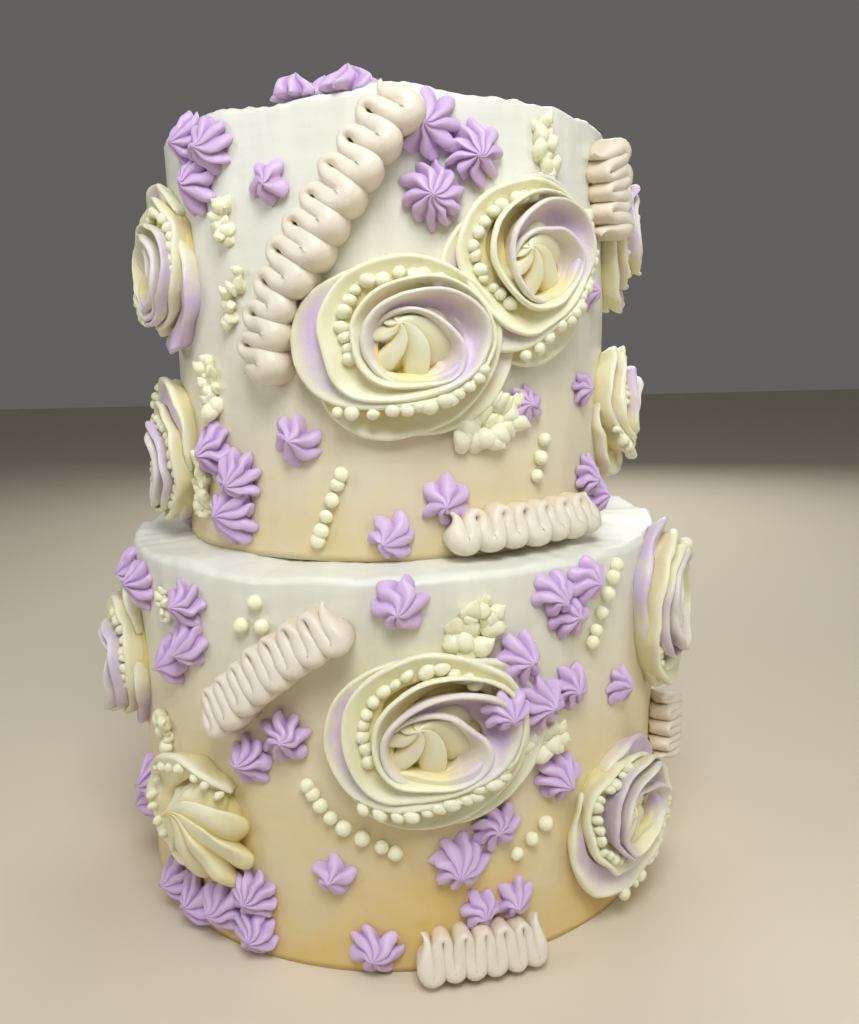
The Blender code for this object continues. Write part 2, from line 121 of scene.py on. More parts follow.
ROSETTES = (
    Rosette("rosette_upper_front", UPPER, 0.5, 68, 66, 61, 0, 1.1),
    Rosette("rosette_upper_front_right", UPPER, 29, 90, 60, 62, -35, 1.4),
    Rosette("rosette_upper_left_high", UPPER, -67, 100, 50, 58, 60),
    Rosette("rosette_upper_left_low", UPPER, -74, 34, 54, 58, 120),
    Rosette("rosette_upper_right_low", UPPER, 76, 43, 48, 54, 30),
    Rosette("rosette_upper_right_high", UPPER, 84, 104, 50, 54, 300),
    Rosette("rosette_lower_front", LOWER, 4.4, 83, 67, 64, 0, 1.1, (-6.0, -1.0)),
    Rosette("rosette_lower_left", LOWER, -39, 44, 50, 52),
    Rosette("rosette_lower_right_low", LOWER, 44, 35, 56, 60, -35),
    Rosette("rosette_lower_right_high", LOWER, 67, 103, 58, 68, 240),
    Rosette("rosette_lower_left_high", LOWER, -75, 92, 50, 60, 80),
    Rosette("rosette_upper_back_left", UPPER, -146, 72, 64, 60, 140),
    Rosette("rosette_upper_back_right", UPPER, 150, 92, 60, 58, 20),
    Rosette("rosette_lower_back_left", LOWER, -132, 50, 62, 60, 320),
    Rosette("rosette_lower_back", LOWER, 176, 84, 66, 62, 110),
    Rosette("rosette_lower_back_right", LOWER, 120, 52, 60, 62, 270),
)

STARS = (
    Stars(
        "stars_upper_left_rim",
        UPPER,
        ((-50, 137, 18.5, 8), (-41.5, 134, 19, 8), (-48, 122, 19.5, 8)),
    ),
    Stars("star_upper_left", UPPER, ((-26, 120, 15, 5),)),
    Stars(
        "stars_upper_front_high",
        UPPER,
        ((9, 134, 21, 8), (18.5, 127, 20, 9), (9.5, 115, 21, 10)),
    ),
    Stars("star_upper_right_high", UPPER, ((56, 86, 13, 7),)),
    Stars("star_upper_front_left", UPPER, ((-22, 40, 17, 6),)),
    Stars(
        "stars_upper_left_low", UPPER, ((-48, 35, 20, 8), (-39, 27, 20, 8), (-41, 13.5, 21, 9))
    ),
    Stars("star_upper_front_right", UPPER, ((31, 49, 14, 7),)),
    Stars("star_upper_right", UPPER, ((53, 53, 13, 7),)),
    Stars("stars_upper_right_foot", UPPER, ((56, 21, 16, 8), (62, 13, 17, 8))),
    Stars("star_upper_front_low", UPPER, ((11, 20, 16, 6),)),
    Stars("star_upper_front_foot", UPPER, ((-1, 8.5, 16, 6),)),
    Stars("star_upper_left_foot", UPPER, ((-79, 8, 14, 7),)),
    Stars(
        "stars_lower_left_high", LOWER, ((-42, 121, 18.5, 7), (-41, 108, 18, 7), (-47, 100, 18, 6))
    ),
    Stars("stars_lower_left_rim", LOWER, ((-69, 124.5, 18, 8), (-60, 121, 19, 8))),
    Stars("star_lower_front_rim", LOWER, ((0, 127, 19, 6),)),
    Stars(
        "stars_lower_right_rim", LOWER, ((28, 125, 17, 6), (35, 126.5, 17, 6), (31, 116, 16, 6))
    ),
    Stars(
        "stars_lower_front_right",
        LOWER,
        ((20, 106, 17, 7, 2), (16, 94, 14, 7, 11), (23, 91, 18, 8, 4), (31.5, 92, 16, 7)),
    ),
    Stars("star_lower_right", LOWER, ((46, 85, 14, 6),)),
    Stars("stars_lower_front_left", LOWER, ((-21, 82, 19, 7), (-28, 72, 18, 7))),
    Stars("star_lower_front_right_low", LOWER, ((28.5, 62, 18, 8),)),
    Stars("stars_lower_front_low", LOWER, ((16, 49, 17, 7), (9.5, 40, 19, 8))),
    Stars("star_lower_front_low", LOWER, ((-13, 35, 15, 5),)),
    Stars("stars_lower_front_foot", LOWER, ((19.5, 22, 15, 6), (13, 21, 15, 6))),
    Stars("star_lower_front_foot", LOWER, ((-6, 9.5, 17, 7),)),
    Stars(
        "stars_lower_left_foot",
        LOWER,
        (
            (-52, 12, 18.5, 8),
            (-44.5, 10.5, 19, 8),
            (-37, 14, 19, 8),
            (-29.5, 9.8, 18.5, 8),
            (-29, 23.5, 18.5, 9),
        ),
    ),
    Stars("stars_lower_left_side", LOWER, ((-66, 42, 18, 8), (-70, 30, 18, 8))),
    Stars("star_lower_right_foot", LOWER, ((64, 12, 16, 7),)),
    Stars("stars_upper_back", UPPER, ((-178, 122, 20, 8), (175, 112, 19, 8))),
    Stars("stars_upper_back_low", UPPER, ((178, 28, 19, 8), (-174.5, 19, 20, 8))),
    Stars("stars_lower_back_high", LOWER, ((-146, 110, 19, 8), (-152, 101, 19, 8))),
    Stars("stars_lower_back_low", LOWER, ((150, 23, 19, 8), (156, 15, 19, 8))),
)

# Stars that stand on the top: azimuth, distance from the axis, size and ridges
TOP_STARS = (
    ("stars_top_front", ((-20.5, 75, 18, 8), (-8, 74, 20, 8), (-14.5, 70, 18, 7))),
    ("stars_top_back", ((152, 67, 19, 8), (164, 68, 20, 8))),
)

RUFFLES = (
    Ruffle(
        "ruffle_upper_front",
        UPPER,
        ((-28, 60), (-25, 80), (-17, 100), (-7, 120), (3.5, 142)),
        10,
        18.5,
    ),
    Ruffle("ruffle_upper_foot", UPPER, ((11, 9.8), (30, 10), (50, 10)), 7, 16),
    Ruffle("ruffle_upper_right", UPPER, ((63, 106), (62, 122), (58, 135)), 4, 18),
    Ruffle("ruffle_lower_front", LOWER, ((-34, 85), (-22, 106), (-9.5, 122)), 8, 18),
    Ruffle("ruffle_lower_foot", LOWER, ((2, 10.2), (13, 9.4), (23, 9.4)), 6, 16.5),
    Ruffle("ruffle_lower_right", LOWER, ((68, 42), (69, 54), (70, 66)), 4, 16),
    Ruffle("ruffle_upper_back", UPPER, ((112, 40), (124, 62), (133, 84)), 8, 17),
    Ruffle("ruffle_lower_back", LOWER, ((-176, 16), (-166, 12), (-156, 12)), 7, 17),
    Ruffle("ruffle_lower_side", LOWER, ((-98, 40), (-104, 62), (-106, 84)), 7, 17),
)

# Strings of pearls on a tier: tier, places that they run through, and their number
PEARL_STRINGS = (
    (UPPER, ((-12, 29), (-18, 7)), 6),
    (UPPER, ((37, 37), (34.5, 25)), 3),
    (LOWER, ((-25.2, 125.6), (-24, 118), (-23.7, 111.5)), 3),
    (LOWER, ((-28.2, 117.5), (-28.2, 117.5)), 1),
    (LOWER, ((-17, 66), (-12, 54), (-2, 44)), 8),
    (LOWER, ((20, 38), (26, 46)), 3),
    (LOWER, ((44, 129), (37, 105)), 6),
    (UPPER, ((-112, 112), (-107, 98)), 4),
    (LOWER, ((-120, 122), (-125, 108)), 4),
    (LOWER, ((140, 122), (144, 108)), 4),
)

# Tufts of leaves: tier, azimuth, height, length, width, direction in degrees, number, leaf length
LEAF_TUFTS = (
    (UPPER, 37, 129, 22, 8, 100, 13, 9),
    (UPPER, 51, 100, 26, 8, 75, 15, 9),
    (UPPER, 22, 44.5, 25, 15, 20, 24, 10),
    (UPPER, -38, 85, 20, 5, 65, 10, 7),
    (UPPER, -38.5, 110, 13, 6, 90, 9, 8),
    (UPPER, -48, 57, 19, 9, 90, 14, 9),
    (UPPER, -55, 22, 22, 9, 80, 16, 9),
    (LOWER, 12.5, 118, 18, 12, 60, 16, 10),
    (LOWER, 25, 76, 15, 9, 20, 12, 10),
    (LOWER, -53, 71, 14, 7, 90, 9, 8),
    (LOWER, -49, 118, 12, 4, 90, 7, 6),
    (UPPER, 170, 60, 18, 9, 110, 12, 9),
    (LOWER, -160, 62, 16, 10, 60, 12, 9),
    (LOWER, 92, 78, 16, 9, 80, 12, 9),
)

# A rosette 66 mm across is ribbons that wind clockwise from its foot, outwards from an eye
# that is off its middle. Each row is turns, reach from the eye, rise of the lip, breadth of
# the inner face, how deep that face dips, and the lip's lean in degrees
ROSETTE_ACROSS = 66.0
ROSETTE_EYE = (5.5, 1.3)
FIRST_RIBBON = (
    (-0.72, 11.5, 8.0, 4.0, 3.0, 0),
    (-0.60, 11.6, 12.2, 4.0, 4.0, 0),
    (-0.50, 11.2, 13.2, 4.0, 5.0, 0),
    (-0.36, 10.6, 13.4, 5.0, 6.0, 0),
    (-0.25, 13.3, 13.6, 7.0, 7.0, 0),
    (-0.14, 14.9, 13.8, 7.0, 7.0, 2),
    (0.00, 12.7, 14.0, 4.0, 6.0, 2),
    (0.12, 14.6, 14.2, 4.0, 6.0, 2),
    (0.25, 15.6, 14.0, 5.0, 5.0, 4),
    (0.36, 18.6, 13.6, 7.0, 6.0, 6),
    (0.50, 22.3, 13.0, 6.0, 7.5, 8),
    (0.62, 23.3, 13.0, 4.0, 8.5, 8),
    (0.75, 21.8, 13.4, 3.5, 7.5, 6),
    (0.88, 18.8, 13.6, 5.0, 2.5, 4),
    (1.00, 18.8, 13.2, 5.0, 2.2, 4),
    (1.06, 21.5, 12.0, 7.0, 2.2, 8),
    (1.12, 27.3, 10.0, 10.0, 2.0, 12),
    (1.18, 33.0, 8.0, 12.0, 1.6, 14),
    (1.25, 35.2, 7.0, 12.0, 1.2, 16),
    (1.32, 34.5, 6.4, 10.0, 1.0, 16),
    (1.38, 31.5, 5.6, 6.0, 0.5, 16),
    (1.44, 27.5, 3.5, 4.0, 0.5, 16),
)
SECOND_RIBBON = (
    (0.03, 12.4, 8.0, 4.0, 3.0, 0),
    (0.10, 12.8, 11.6, 5.0, 5.0, 0),
    (0.25, 12.7, 14.4, 6.0, 8.0, 0),
    (0.40, 14.6, 15.0, 4.5, 6.0, 2),
    (0.50, 16.9, 15.0, 6.0, 6.0, 4),
    (0.62, 19.9, 14.8, 8.5, 8.5, 4),
    (0.70, 20.8, 14.6, 8.5, 9.0, 4),
    (0.80, 18.8, 14.4, 6.0, 6.0, 4),
    (0.90, 16.2, 14.0, 5.0, 2.0, 4),
    (1.00, 16.2, 13.4, 5.0, 1.8, 4),
    (1.07, 19.2, 12.6, 7.5, 2.4, 6),
    (1.14, 24.0, 11.6, 10.5, 3.0, 8),
    (1.25, 25.4, 10.6, 11.0, 3.2, 10),
    (1.36, 29.4, 9.8, 12.0, 3.2, 12),
    (1.45, 29.2, 9.4, 10.0, 3.0, 12),
    (1.57, 26.2, 9.4, 8.0, 2.5, 10),
    (1.70, 24.6, 9.8, 6.0, 2.5, 8),
    (1.82, 24.0, 9.4, 7.0, 2.8, 8),
    (1.93, 26.4, 7.8, 9.0, 3.0, 12),
    (2.00, 30.2, 6.2, 12.0, 2.8, 16),
    (2.08, 34.0, 5.2, 11.0, 2.2, 18),
    (2.15, 34.2, 4.2, 8.0, 1.5, 18),
    (2.20, 31.0, 3.0, 5.0, 1.0, 18),
)
LAST_RIBBON = (
    (1.50, 24.0, 5.0, 4.0, 1.0, 14),
    (1.62, 29.0, 5.6, 7.0, 1.2, 14),
    (1.78, 31.0, 5.4, 8.0, 1.5, 16),
    (1.92, 30.4, 4.6, 8.0, 1.5, 18),
    (2.02, 30.4, 3.0, 5.0, 1.0, 18),
)
# The arc round a bud, in the same terms
BUD_RIBBON = (
    (0.06, 24.0, 4.0, 8.0, 1.0, 14),
    (0.14, 32.0, 7.5, 12.0, 1.6, 14),
    (0.27, 37.0, 10.5, 15.0, 2.4, 12),
    (0.38, 37.0, 11.5, 15.0, 2.6, 10),
    (0.47, 32.0, 11.0, 13.0, 2.6, 10),
    (0.54, 26.0, 9.0, 8.0, 2.0, 10),
    (0.60, 21.0, 5.0, 5.0, 1.0, 10),
)
# A ribbon's section from its lip down its outer side, in millimetres. Its inner face follows,
# back from its far end, as shares of the breadth and of the dip, where None is at the foot
RIBBON_SIDE = (
    (-0.2, 0.1),
    (0.6, -0.1),
    (1.15, -0.9),
    (1.1, -2.2),
    (0.3, -4.2),
    (-0.6, -7.5),
    (-1.4, -15.0),
)
INNER_FACE = (
    (1.0, None),
    (1.0, 1.0),
    (0.82, 1.0),
    (0.60, 0.95),
    (0.40, 0.80),
    (0.23, 0.55),
    (0.10, 0.22),
)
RIBBON_SECTION = RIBBON_SIDE + ((-10.0, -15.0),) * len(INNER_FACE)
# How much of the lilac each point of the section takes: all of it, the inner face alone, or
# that face and half of the side
ALL_OVER = (1.0,) * len(RIBBON_SECTION)
INSIDE = (0.1,) + (0.0,) * (len(RIBBON_SIDE) - 1) + (1.0, 1.0, 1.0, 1.0, 0.8, 0.5, 0.2)
TINTED = (0.3,) + (0.5,) * (len(RIBBON_SIDE) - 1) + (1.0, 1.0, 1.0, 1.0, 0.9, 0.7, 0.4)
# How much painted shade each point takes, by how deep it lies in its fold: along the side, then
# along the inner face
SIDE_SHADE = (0.0, 0.0, 0.05, 0.2, 0.4, 0.5, 0.6)
FACE_SHADE = (1.0, 1.0, 0.9, 0.7, 0.5, 0.25, 0.05)
STEPS_PER_TURN = 40
# A ribbon's waves: how often in a turn, how far aside and upwards, and their layer of noise
RIBBON_WAVES = ((2.6, 0.9, 0.6, 0.0), (11.0, 0.3, 0.3, 4.0))
ROSETTE_PEARL = 4.3 * MM
# The ridged eye: its ridges, its twist in degrees, how far its grooves reach in, its size
# across, foot and top, the place of its point from its middle, and its drop behind the point
EYE_RIDGES = 6
EYE_TWIST = -95.0
EYE_VALLEY = 0.4
EYE_ACROSS = 30.0
EYE_FOOT = 1.0
EYE_TOP = 12.8
EYE_POINT = (-4.0, 9.4)
EYE_DROP = 6.0


class CakeSizes(bpy.types.PropertyGroup):
    """Sizes that a user would change."""

    pearl: bpy.props.FloatProperty(
        name="Pearl", description="Width of a pearl", default=4.9 * MM, unit="LENGTH"
    )
    star_depth: bpy.props.FloatProperty(
        name="Star depth",
        description="Depth of a star as a share of its width",
        default=0.44,
        subtype="FACTOR",
    )
    ruffle_depth: bpy.props.FloatProperty(
        name="Ruffle depth",
        description="How far a ruffle stands out from the side",
        default=12.5 * MM,
        unit="LENGTH",
    )
    rim_wave: bpy.props.FloatProperty(
        name="Rim wave",
        description="How uneven a tier's rim is",
        default=1.6 * MM,
        unit="LENGTH",
    )


class CakeColors(bpy.types.PropertyGroup):
    """Colours of the icings."""

    cream: bpy.props.FloatVectorProperty(
        name="Cream", description="Smooth icing", default=(0.83, 0.85, 0.77), subtype="COLOR"
    )
    rose: bpy.props.FloatVectorProperty(
        name="Rose", description="Rosette icing", default=(0.87, 0.88, 0.68), subtype="COLOR"
    )
    leaf: bpy.props.FloatVectorProperty(
        name="Leaf", description="Leaf and pearl icing", default=(0.94, 0.94, 0.72), subtype="COLOR"
    )
    lilac: bpy.props.FloatVectorProperty(
        name="Lilac", description="Star icing", default=(0.70, 0.54, 0.81), subtype="COLOR"
    )
    ruffle: bpy.props.FloatVectorProperty(
        name="Ruffle", description="Ruffle icing", default=(0.81, 0.77, 0.66), subtype="COLOR"
    )


def select_only(obj):
    """Make an object the only selected and the active one."""
    bpy.ops.object.select_all(action="DESELECT")
    obj.select_set(True)
    bpy.context.view_layer.objects.active = obj


def points_of(obj):
    """The mesh's points as an array of rows."""
    count = len(obj.data.vertices)
    points = np.empty(count * 3)
    obj.data.vertices.foreach_get("co", points)
    return points.reshape(count, 3)


def move_points(obj, points):
    """Move the mesh's points to new places."""
    obj.data.vertices.foreach_set("co", np.asarray(points, dtype=np.float32).ravel())
    obj.data.update()


def on_tier(points, tier, azimuth, height):
    """Wrap flat points, across, up and out, on a tier's side."""
    angle = math.radians(azimuth) + points[:, 0] / tier.radius
    reach = tier.radius + points[:, 2]
    up = np.maximum(tier.foot + height * MM + points[:, 1], FLOOR_GAP)
    return np.stack((reach * np.sin(angle), -reach * np.cos(angle), up), axis=1)


def on_top(points, azimuth, distance):
    """Stand flat points, across, up and out, on the cake's top."""
    angle = math.radians(azimuth)
    across = points[:, 0]
    away = distance * MM + points[:, 1]
    x = across * math.cos(angle) + away * math.sin(angle)
    y = across * math.sin(angle) - away * math.cos(angle)
    return np.stack((x, y, UPPER.foot + UPPER.height + points[:, 2]), axis=1)


def turned(points, angle):
    """Turn flat points round the way out, from across towards up."""
    x = points[:, 0] * math.cos(angle) - points[:, 1] * math.sin(angle)
    y = points[:, 0] * math.sin(angle) + points[:, 1] * math.cos(angle)
    return np.stack((x, y, points[:, 2]), axis=1)


def wobble(points, size, depth, seed):
    """Shift points by smooth noise of a feature size and depth."""
    offset = Vector((seed * 3.7, seed * 1.9, seed * 5.3))
    moved = [
        noise.noise_vector(Vector(point) / size + offset, noise_basis="PERLIN_ORIGINAL")
        for point in points
    ]
    return points + np.array(moved) * depth


def curve_through(rows, shares):
    """Points of a smooth curve through rows at shares of the way, evenly by row."""
    rows = np.asarray(rows, dtype=float)
    spans = len(rows) - 1
    position = np.clip(shares, 0.0, 1.0) * spans
    i = np.minimum(position.astype(int), spans - 1)
    t = (position - i)[:, None]
    before = rows[np.maximum(i - 1, 0)]
    start = rows[i]
    end = rows[i + 1]
    after = rows[np.minimum(i + 2, spans)]
    leave = (end - before) * 0.5
    arrive = (after - start) * 0.5
    return (
        start * (2 * t**3 - 3 * t**2 + 1)
        + leave * (t**3 - 2 * t**2 + t)
        + end * (3 * t**2 - 2 * t**3)
        + arrive * (t**3 - t**2)
    )


def closed_section(points):
    """A closed flat curve that other curves carry as their section."""
    curve = bpy.data.curves.new("section", "CURVE")
    spline = curve.splines.new("POLY")
    spline.points.add(len(points) - 1)
    for point, (x, y) in zip(spline.points, points):
        point.co = (-x, y, 0.0, 1.0)
    spline.use_cyclic_u = True
    section = bpy.data.objects.new("section", curve)
    bpy.context.scene.collection.objects.link(section)
    return section


def sweep(name, path, sizes, tilts, section):
    """Carry a section along a path, and make the result a mesh."""
    curve = bpy.data.curves.new(name, "CURVE")
    curve.dimensions = "3D"
    curve.twist_mode = "Z_UP"
    spline = curve.splines.new("POLY")
    spline.points.add(len(path) - 1)
    for point, place, size, tilt in zip(spline.points, path, sizes, tilts):
        point.co = (*place, 1.0)
        point.radius = size
        point.tilt = tilt
    curve.bevel_mode = "OBJECT"
    curve.bevel_object = section
    curve.use_fill_caps = True
    obj = bpy.data.objects.new(name, curve)
    bpy.context.scene.collection.objects.link(obj)
    select_only(obj)
    bpy.ops.object.convert(target="MESH")
    return bpy.context.object


def merge_doubles(obj):
    """Close seams and turn every face outwards."""
    select_only(obj)
    bpy.ops.object.mode_set(mode="EDIT")
    bpy.ops.mesh.select_all(action="SELECT")
    bpy.ops.mesh.remove_doubles(threshold=1e-6)
    bpy.ops.mesh.normals_make_consistent(inside=False)
    bpy.ops.object.mode_set(mode="OBJECT")


def subdivide(obj):
    """Smooth a mesh by one level of a subdivision surface."""
    select_only(obj)
    modifier = obj.modifiers.new("smooth", "SUBSURF")
    modifier.levels = 1
    modifier.render_levels = 1
    bpy.ops.object.modifier_apply(modifier=modifier.name)


def join(objects, name):
    """Join objects into one."""
    bpy.ops.object.select_all(action="DESELECT")
    for obj in objects:
        obj.select_set(True)
    bpy.context.view_layer.objects.active = objects[0]
    if len(objects) > 1:
        bpy.ops.object.join()
    joined = bpy.context.object
    joined.name = name
    joined.data.name = name
    return joined


def copy_of(obj):
    """A copy of an object with its own mesh."""
    twin = obj.copy()
    twin.data = obj.data.copy()
    bpy.context.scene.collection.objects.link(twin)
    return twin


def remove(*objects):
    """Remove helper objects."""
    for obj in objects:
        bpy.data.objects.remove(obj, do_unlink=True)


def set_mask(obj, name, values):
    """Store a number for each point, which a material reads."""
    attributes = obj.data.attributes
    attribute = attributes.get(name) or attributes.new(name, "FLOAT", "POINT")
    attribute.data.foreach_set("value", np.asarray(values, dtype=np.float32))


def mask_of(obj, name):
    """The numbers stored for each point."""
    values = np.empty(len(obj.data.vertices), dtype=np.float32)
    obj.data.attributes[name].data.foreach_get("value", values)
    return values


def finish(obj, node, icing):
    """Shade a piece smooth, give it its icing and let it stand for its node."""
    select_only(obj)
    bpy.ops.object.shade_smooth()
    obj.data.materials.clear()
    obj.data.materials.append(icing)
    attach(obj, "root")
    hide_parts(node)
    return obj


class Sock:
    """A socket or number that takes part in shader maths written as Python."""

    def __init__(self, tree, value):
        self.tree = tree
        self.value = value

    def _math(self, operation, a, b=None):
        values = [a] if b is None else [a, b]
        return self.tree.add("ShaderNodeMath", {"operation": operation}, values)

    def __add__(self, other):
        return self._math("ADD", self, other)

    __radd__ = __add__

    def __sub__(self, other):
        return self._math("SUBTRACT", self, other)

    def __rsub__(self, other):
        return self._math("SUBTRACT", other, self)

    def __mul__(self, other):
        return self._math("MULTIPLY", self, other)

    __rmul__ = __mul__

    def clamp(self):
        """The value held between 0 and 1."""
        return self.tree.add(
            "ShaderNodeMath", {"operation": "MULTIPLY", "use_clamp": True}, [self, 1.0]
        )


# Roughness of spread and of piped icing, how much light sinks in, and the size of its pores
SMOOTH = 0.4
PIPED = 0.36
SOFTNESS = 0.12
PORE_SIZE = 1.0 * MM
PORE_DEPTH = 0.3 * MM


class Icing:
    """A soft, matt material with its node tree."""

    def __init__(self, name, roughness, softness=0.0):
        self.material = bpy.data.materials.new(name)
        self.material.use_nodes = True
        self.nodes = self.material.node_tree.nodes
        self.links = self.material.node_tree.links
        self.shader = self.nodes["Principled BSDF"]
        self.shader.inputs["Roughness"].default_value = roughness
        self.shader.inputs["Specular IOR Level"].default_value = 0.4
        self.shader.inputs["Subsurface Weight"].default_value = softness
        self.shader.inputs["Subsurface Radius"].default_value = (1.0, 0.8, 0.5)
        self.shader.inputs["Subsurface Scale"].default_value = 3 * MM

    def add(self, kind, settings=None, values=(), output=0):
        """Add a node: its settings first, then the values or links of its sockets."""
        node = self.nodes.new(kind)
        for key, value in (settings or {}).items():
            if key == "stops":
                self._set_stops(node.color_ramp, value)
            else:
                setattr(node, key, value)
        pairs = values.items() if isinstance(values, dict) else enumerate(values)
        for key, value in pairs:
            socket = node.inputs[key]
            if isinstance(value, Sock):
                self.links.new(value.value, socket)
            else:
                socket.default_value = value
        return Sock(self, node.outputs[output])

    @staticmethod
    def _set_stops(ramp, stops):
        while len(ramp.elements) < len(stops):
            ramp.elements.new(1.0)
        for element, (position, shade) in zip(ramp.elements, stops):
            element.position = position
            element.color = (shade, shade, shade, 1.0)

    def coordinates(self):
        """Object coordinates."""
        node = self.nodes.new("ShaderNodeTexCoord")
        return Sock(self, node.outputs["Object"])

    def grain(self, where, size, detail=2.0):
        """Smooth noise with features of a size."""
        return self.add(
            "ShaderNodeTexNoise",
            values={"Vector": where, "Scale": 1.0 / size, "Detail": detail, "Roughness": 0.55},
        )

    def stretched(self, where, up):
        """Coordinates on which a pattern comes out flatter, or taller, by a scale upwards."""
        values = {"Vector": where, "Scale": (1.0, 1.0, up)}
        return self.add("ShaderNodeMapping", {"vector_type": "POINT"}, values)

    def ramp(self, value, *stops):
        """A value passed through grey stops."""
        return self.add("ShaderNodeValToRGB", {"stops": stops}, [value])

    def blend(self, share, first, second):
        """Mix two colours by a share."""
        settings = {"data_type": "RGBA"}
        values = {0: share, 6: self._color(first), 7: self._color(second)}
        return self.add("ShaderNodeMix", settings, values, output=2)

    @staticmethod
    def _color(value):
        return value if isinstance(value, Sock) else (*value, 1.0)

    def mask(self, name):
        """A number stored at each point of the piece."""
        return self.add("ShaderNodeAttribute", {"attribute_name": name}, output="Fac")

    def finish(self, color, relief=None, distance=PORE_DEPTH, strength=0.5):
        """Link the colour and the relief to the shader."""
        self.links.new(color.value, self.shader.inputs["Base Color"])
        if relief:
            normal = self.add(
                "ShaderNodeBump",
                values={"Strength": strength, "Distance": distance, "Height": relief},
            )
            self.links.new(normal.value, self.shader.inputs["Normal"])
        return self.material


# Tones that the icings blend to: a painted shade tinted by painted warm bounce light towards a
# tier's foot, painted shade in hollows (the leaves and pearls carry no hollow mask, so their tone
# shows only in cloudy mottles), and a rosette's lilac streaks
FOOT_SHADE_CREAM = (0.76, 0.58, 0.23)
ROSE_SHADE = (0.80, 0.68, 0.28)
LILAC_SHADE = (0.51, 0.32, 0.60)
DEEP_LEAF = (0.84, 0.78, 0.36)
RUFFLE_SHADE = (0.76, 0.62, 0.44)
ROSE_LILAC = (0.66, 0.55, 0.75)


def darker(color, share):
    """A colour made darker by a share."""
    return tuple(channel * share for channel in color)


def cream_icing():
    """Smooth icing: painted shade tinted by painted warm bounce light, in clouds, towards the foot,
    and fine marks of the scraper.
    """
    cream = tuple(bpy.context.scene.cake_colors.cream)
    icing = Icing("cream_icing", SMOOTH, SOFTNESS)
    where = icing.coordinates()
    cloud = icing.grain(where, 28 * MM)
    drag = icing.grain(icing.stretched(where, 6.0), 30 * MM, 4.0)
    streak = icing.grain(icing.stretched(where, 0.12), 7 * MM, 3.0)
    fine = icing.grain(where, 2 * MM, 3.0)
    # painted shade and warm bounce light, which grow towards the foot, in clouds
    foot_shade = icing.mask("warm") * (cloud * 1.3 + 0.35)
    tone = icing.ramp(cloud * 0.3 + drag * 0.3 + streak * 0.4, (0.36, 0.0), (0.62, 1.0))
    plain = icing.blend(tone, darker(cream, 0.90), cream)
    color = icing.blend(foot_shade.clamp(), plain, FOOT_SHADE_CREAM)
    return icing.finish(color, drag * 0.3 + streak * 0.5 + fine * 0.2, 0.8 * MM, 0.45)


def piped_icing(name, color, shade):
    """Piped icing: soft, with fine pores, with a painted shade, darker and richer, in its hollows,
    and a tone that varies in clouds.
    """
    icing = Icing(name, PIPED, SOFTNESS)
    where = icing.coordinates()
    cloud = icing.grain(where, 12 * MM)
    pores = icing.grain(where, PORE_SIZE, 3.0)
    # painted shade: the mask darkens the hollows towards the shade colour, and clouds vary the tone
    share = (icing.mask("deep") * 0.9 + cloud * 0.3).clamp()
    mixed = icing.blend(share, color, shade)
    return icing.finish(mixed, pores)


def rosette_icing():
    """Cream icing with a painted shade, darker and yellower, in its hollows, a tone that varies in
    clouds, and lilac streaks where the mask says.
    """
    rose = tuple(bpy.context.scene.cake_colors.rose)
    icing = Icing("rosette_icing", PIPED, SOFTNESS)
    where = icing.coordinates()
    cloud = icing.grain(where, 9 * MM)
    pores = icing.grain(where, PORE_SIZE, 3.0)
    # painted shade: the mask darkens and yellows the hollows, and clouds vary the tone
    share = (icing.mask("deep") * 0.9 + (cloud * 0.5 - 0.15)).clamp()
    cream = icing.blend(share, rose, ROSE_SHADE)
    streak = (icing.mask("lilac") * (cloud * 1.6 + 0.1)).clamp()
    color = icing.blend(streak, cream, ROSE_LILAC)
    return icing.finish(color, pores)


def lilac_icing():
    """Lilac piping icing."""
    lilac = tuple(bpy.context.scene.cake_colors.lilac)
    return piped_icing("lilac_icing", lilac, LILAC_SHADE)


def leaf_icing():
    """Pale yellow-green icing of pearls and leaves."""
    leaf = tuple(bpy.context.scene.cake_colors.leaf)
    return piped_icing("leaf_icing", leaf, DEEP_LEAF)


def ruffle_icing():
    """Pinkish cream icing of the ruffles."""
    ruffle = tuple(bpy.context.scene.cake_colors.ruffle)
    return piped_icing("ruffle_icing", ruffle, RUFFLE_SHADE)


def shared(name, maker):
    """The material of a name, which the first piece that wants it makes."""
    return bpy.data.materials.get(name) or maker()


class CakeOperator(bpy.types.Operator):
    """Shared base of the cake's operators."""

    bl_options = {"REGISTER", "UNDO"}


CAMERA_PLACE = (0.0, -368.5 * MM, 204.0 * MM)
CAMERA_YAW = 2.13
CAMERA_PITCH = -10.63
CAMERA_ROLL = -1.25
CAMERA_LENS = 31.5
SENSOR = 36.0
# The lights, which all look at the cake's middle: name, place, size, power and colour
CAKE_MIDDLE = (0.0, 0.0, 0.15)
LIGHTS = (
    ("key", (0.03, -0.46, 0.63), 0.3, 3.15, (1.0, 1.0, 1.0)),
    ("left_fill", (-0.72, -0.34, 0.5), 0.4, 1.75, (0.99, 0.98, 1.0)),
    ("right_fill", (0.70, -0.35, 0.45), 0.4, 1.4, (1.0, 0.98, 0.95)),
    ("back", (0.2, 0.85, 0.6), 0.6, 4.5, (1.0, 0.98, 0.95)),
)
ROOM_COLOR = (1.0, 0.98, 0.94, 1.0)
ROOM_STRENGTH = 0.12
FLOOR_SIZE = 6.0
FLOOR_TONES = ((0.68, 0.61, 0.48), (0.72, 0.65, 0.52))


def add_light(name, place, size, power, color):
    """A soft square light that looks at the cake's middle."""
    light = bpy.data.lights.new(name, "AREA")
    light.energy = power
    light.size = size
    light.color = color
    obj = bpy.data.objects.new(name, light)
    obj.location = place
    look = Vector(CAKE_MIDDLE) - Vector(place)
    obj.rotation_euler = look.to_track_quat("-Z", "Y").to_euler()
    bpy.context.scene.collection.objects.link(obj)


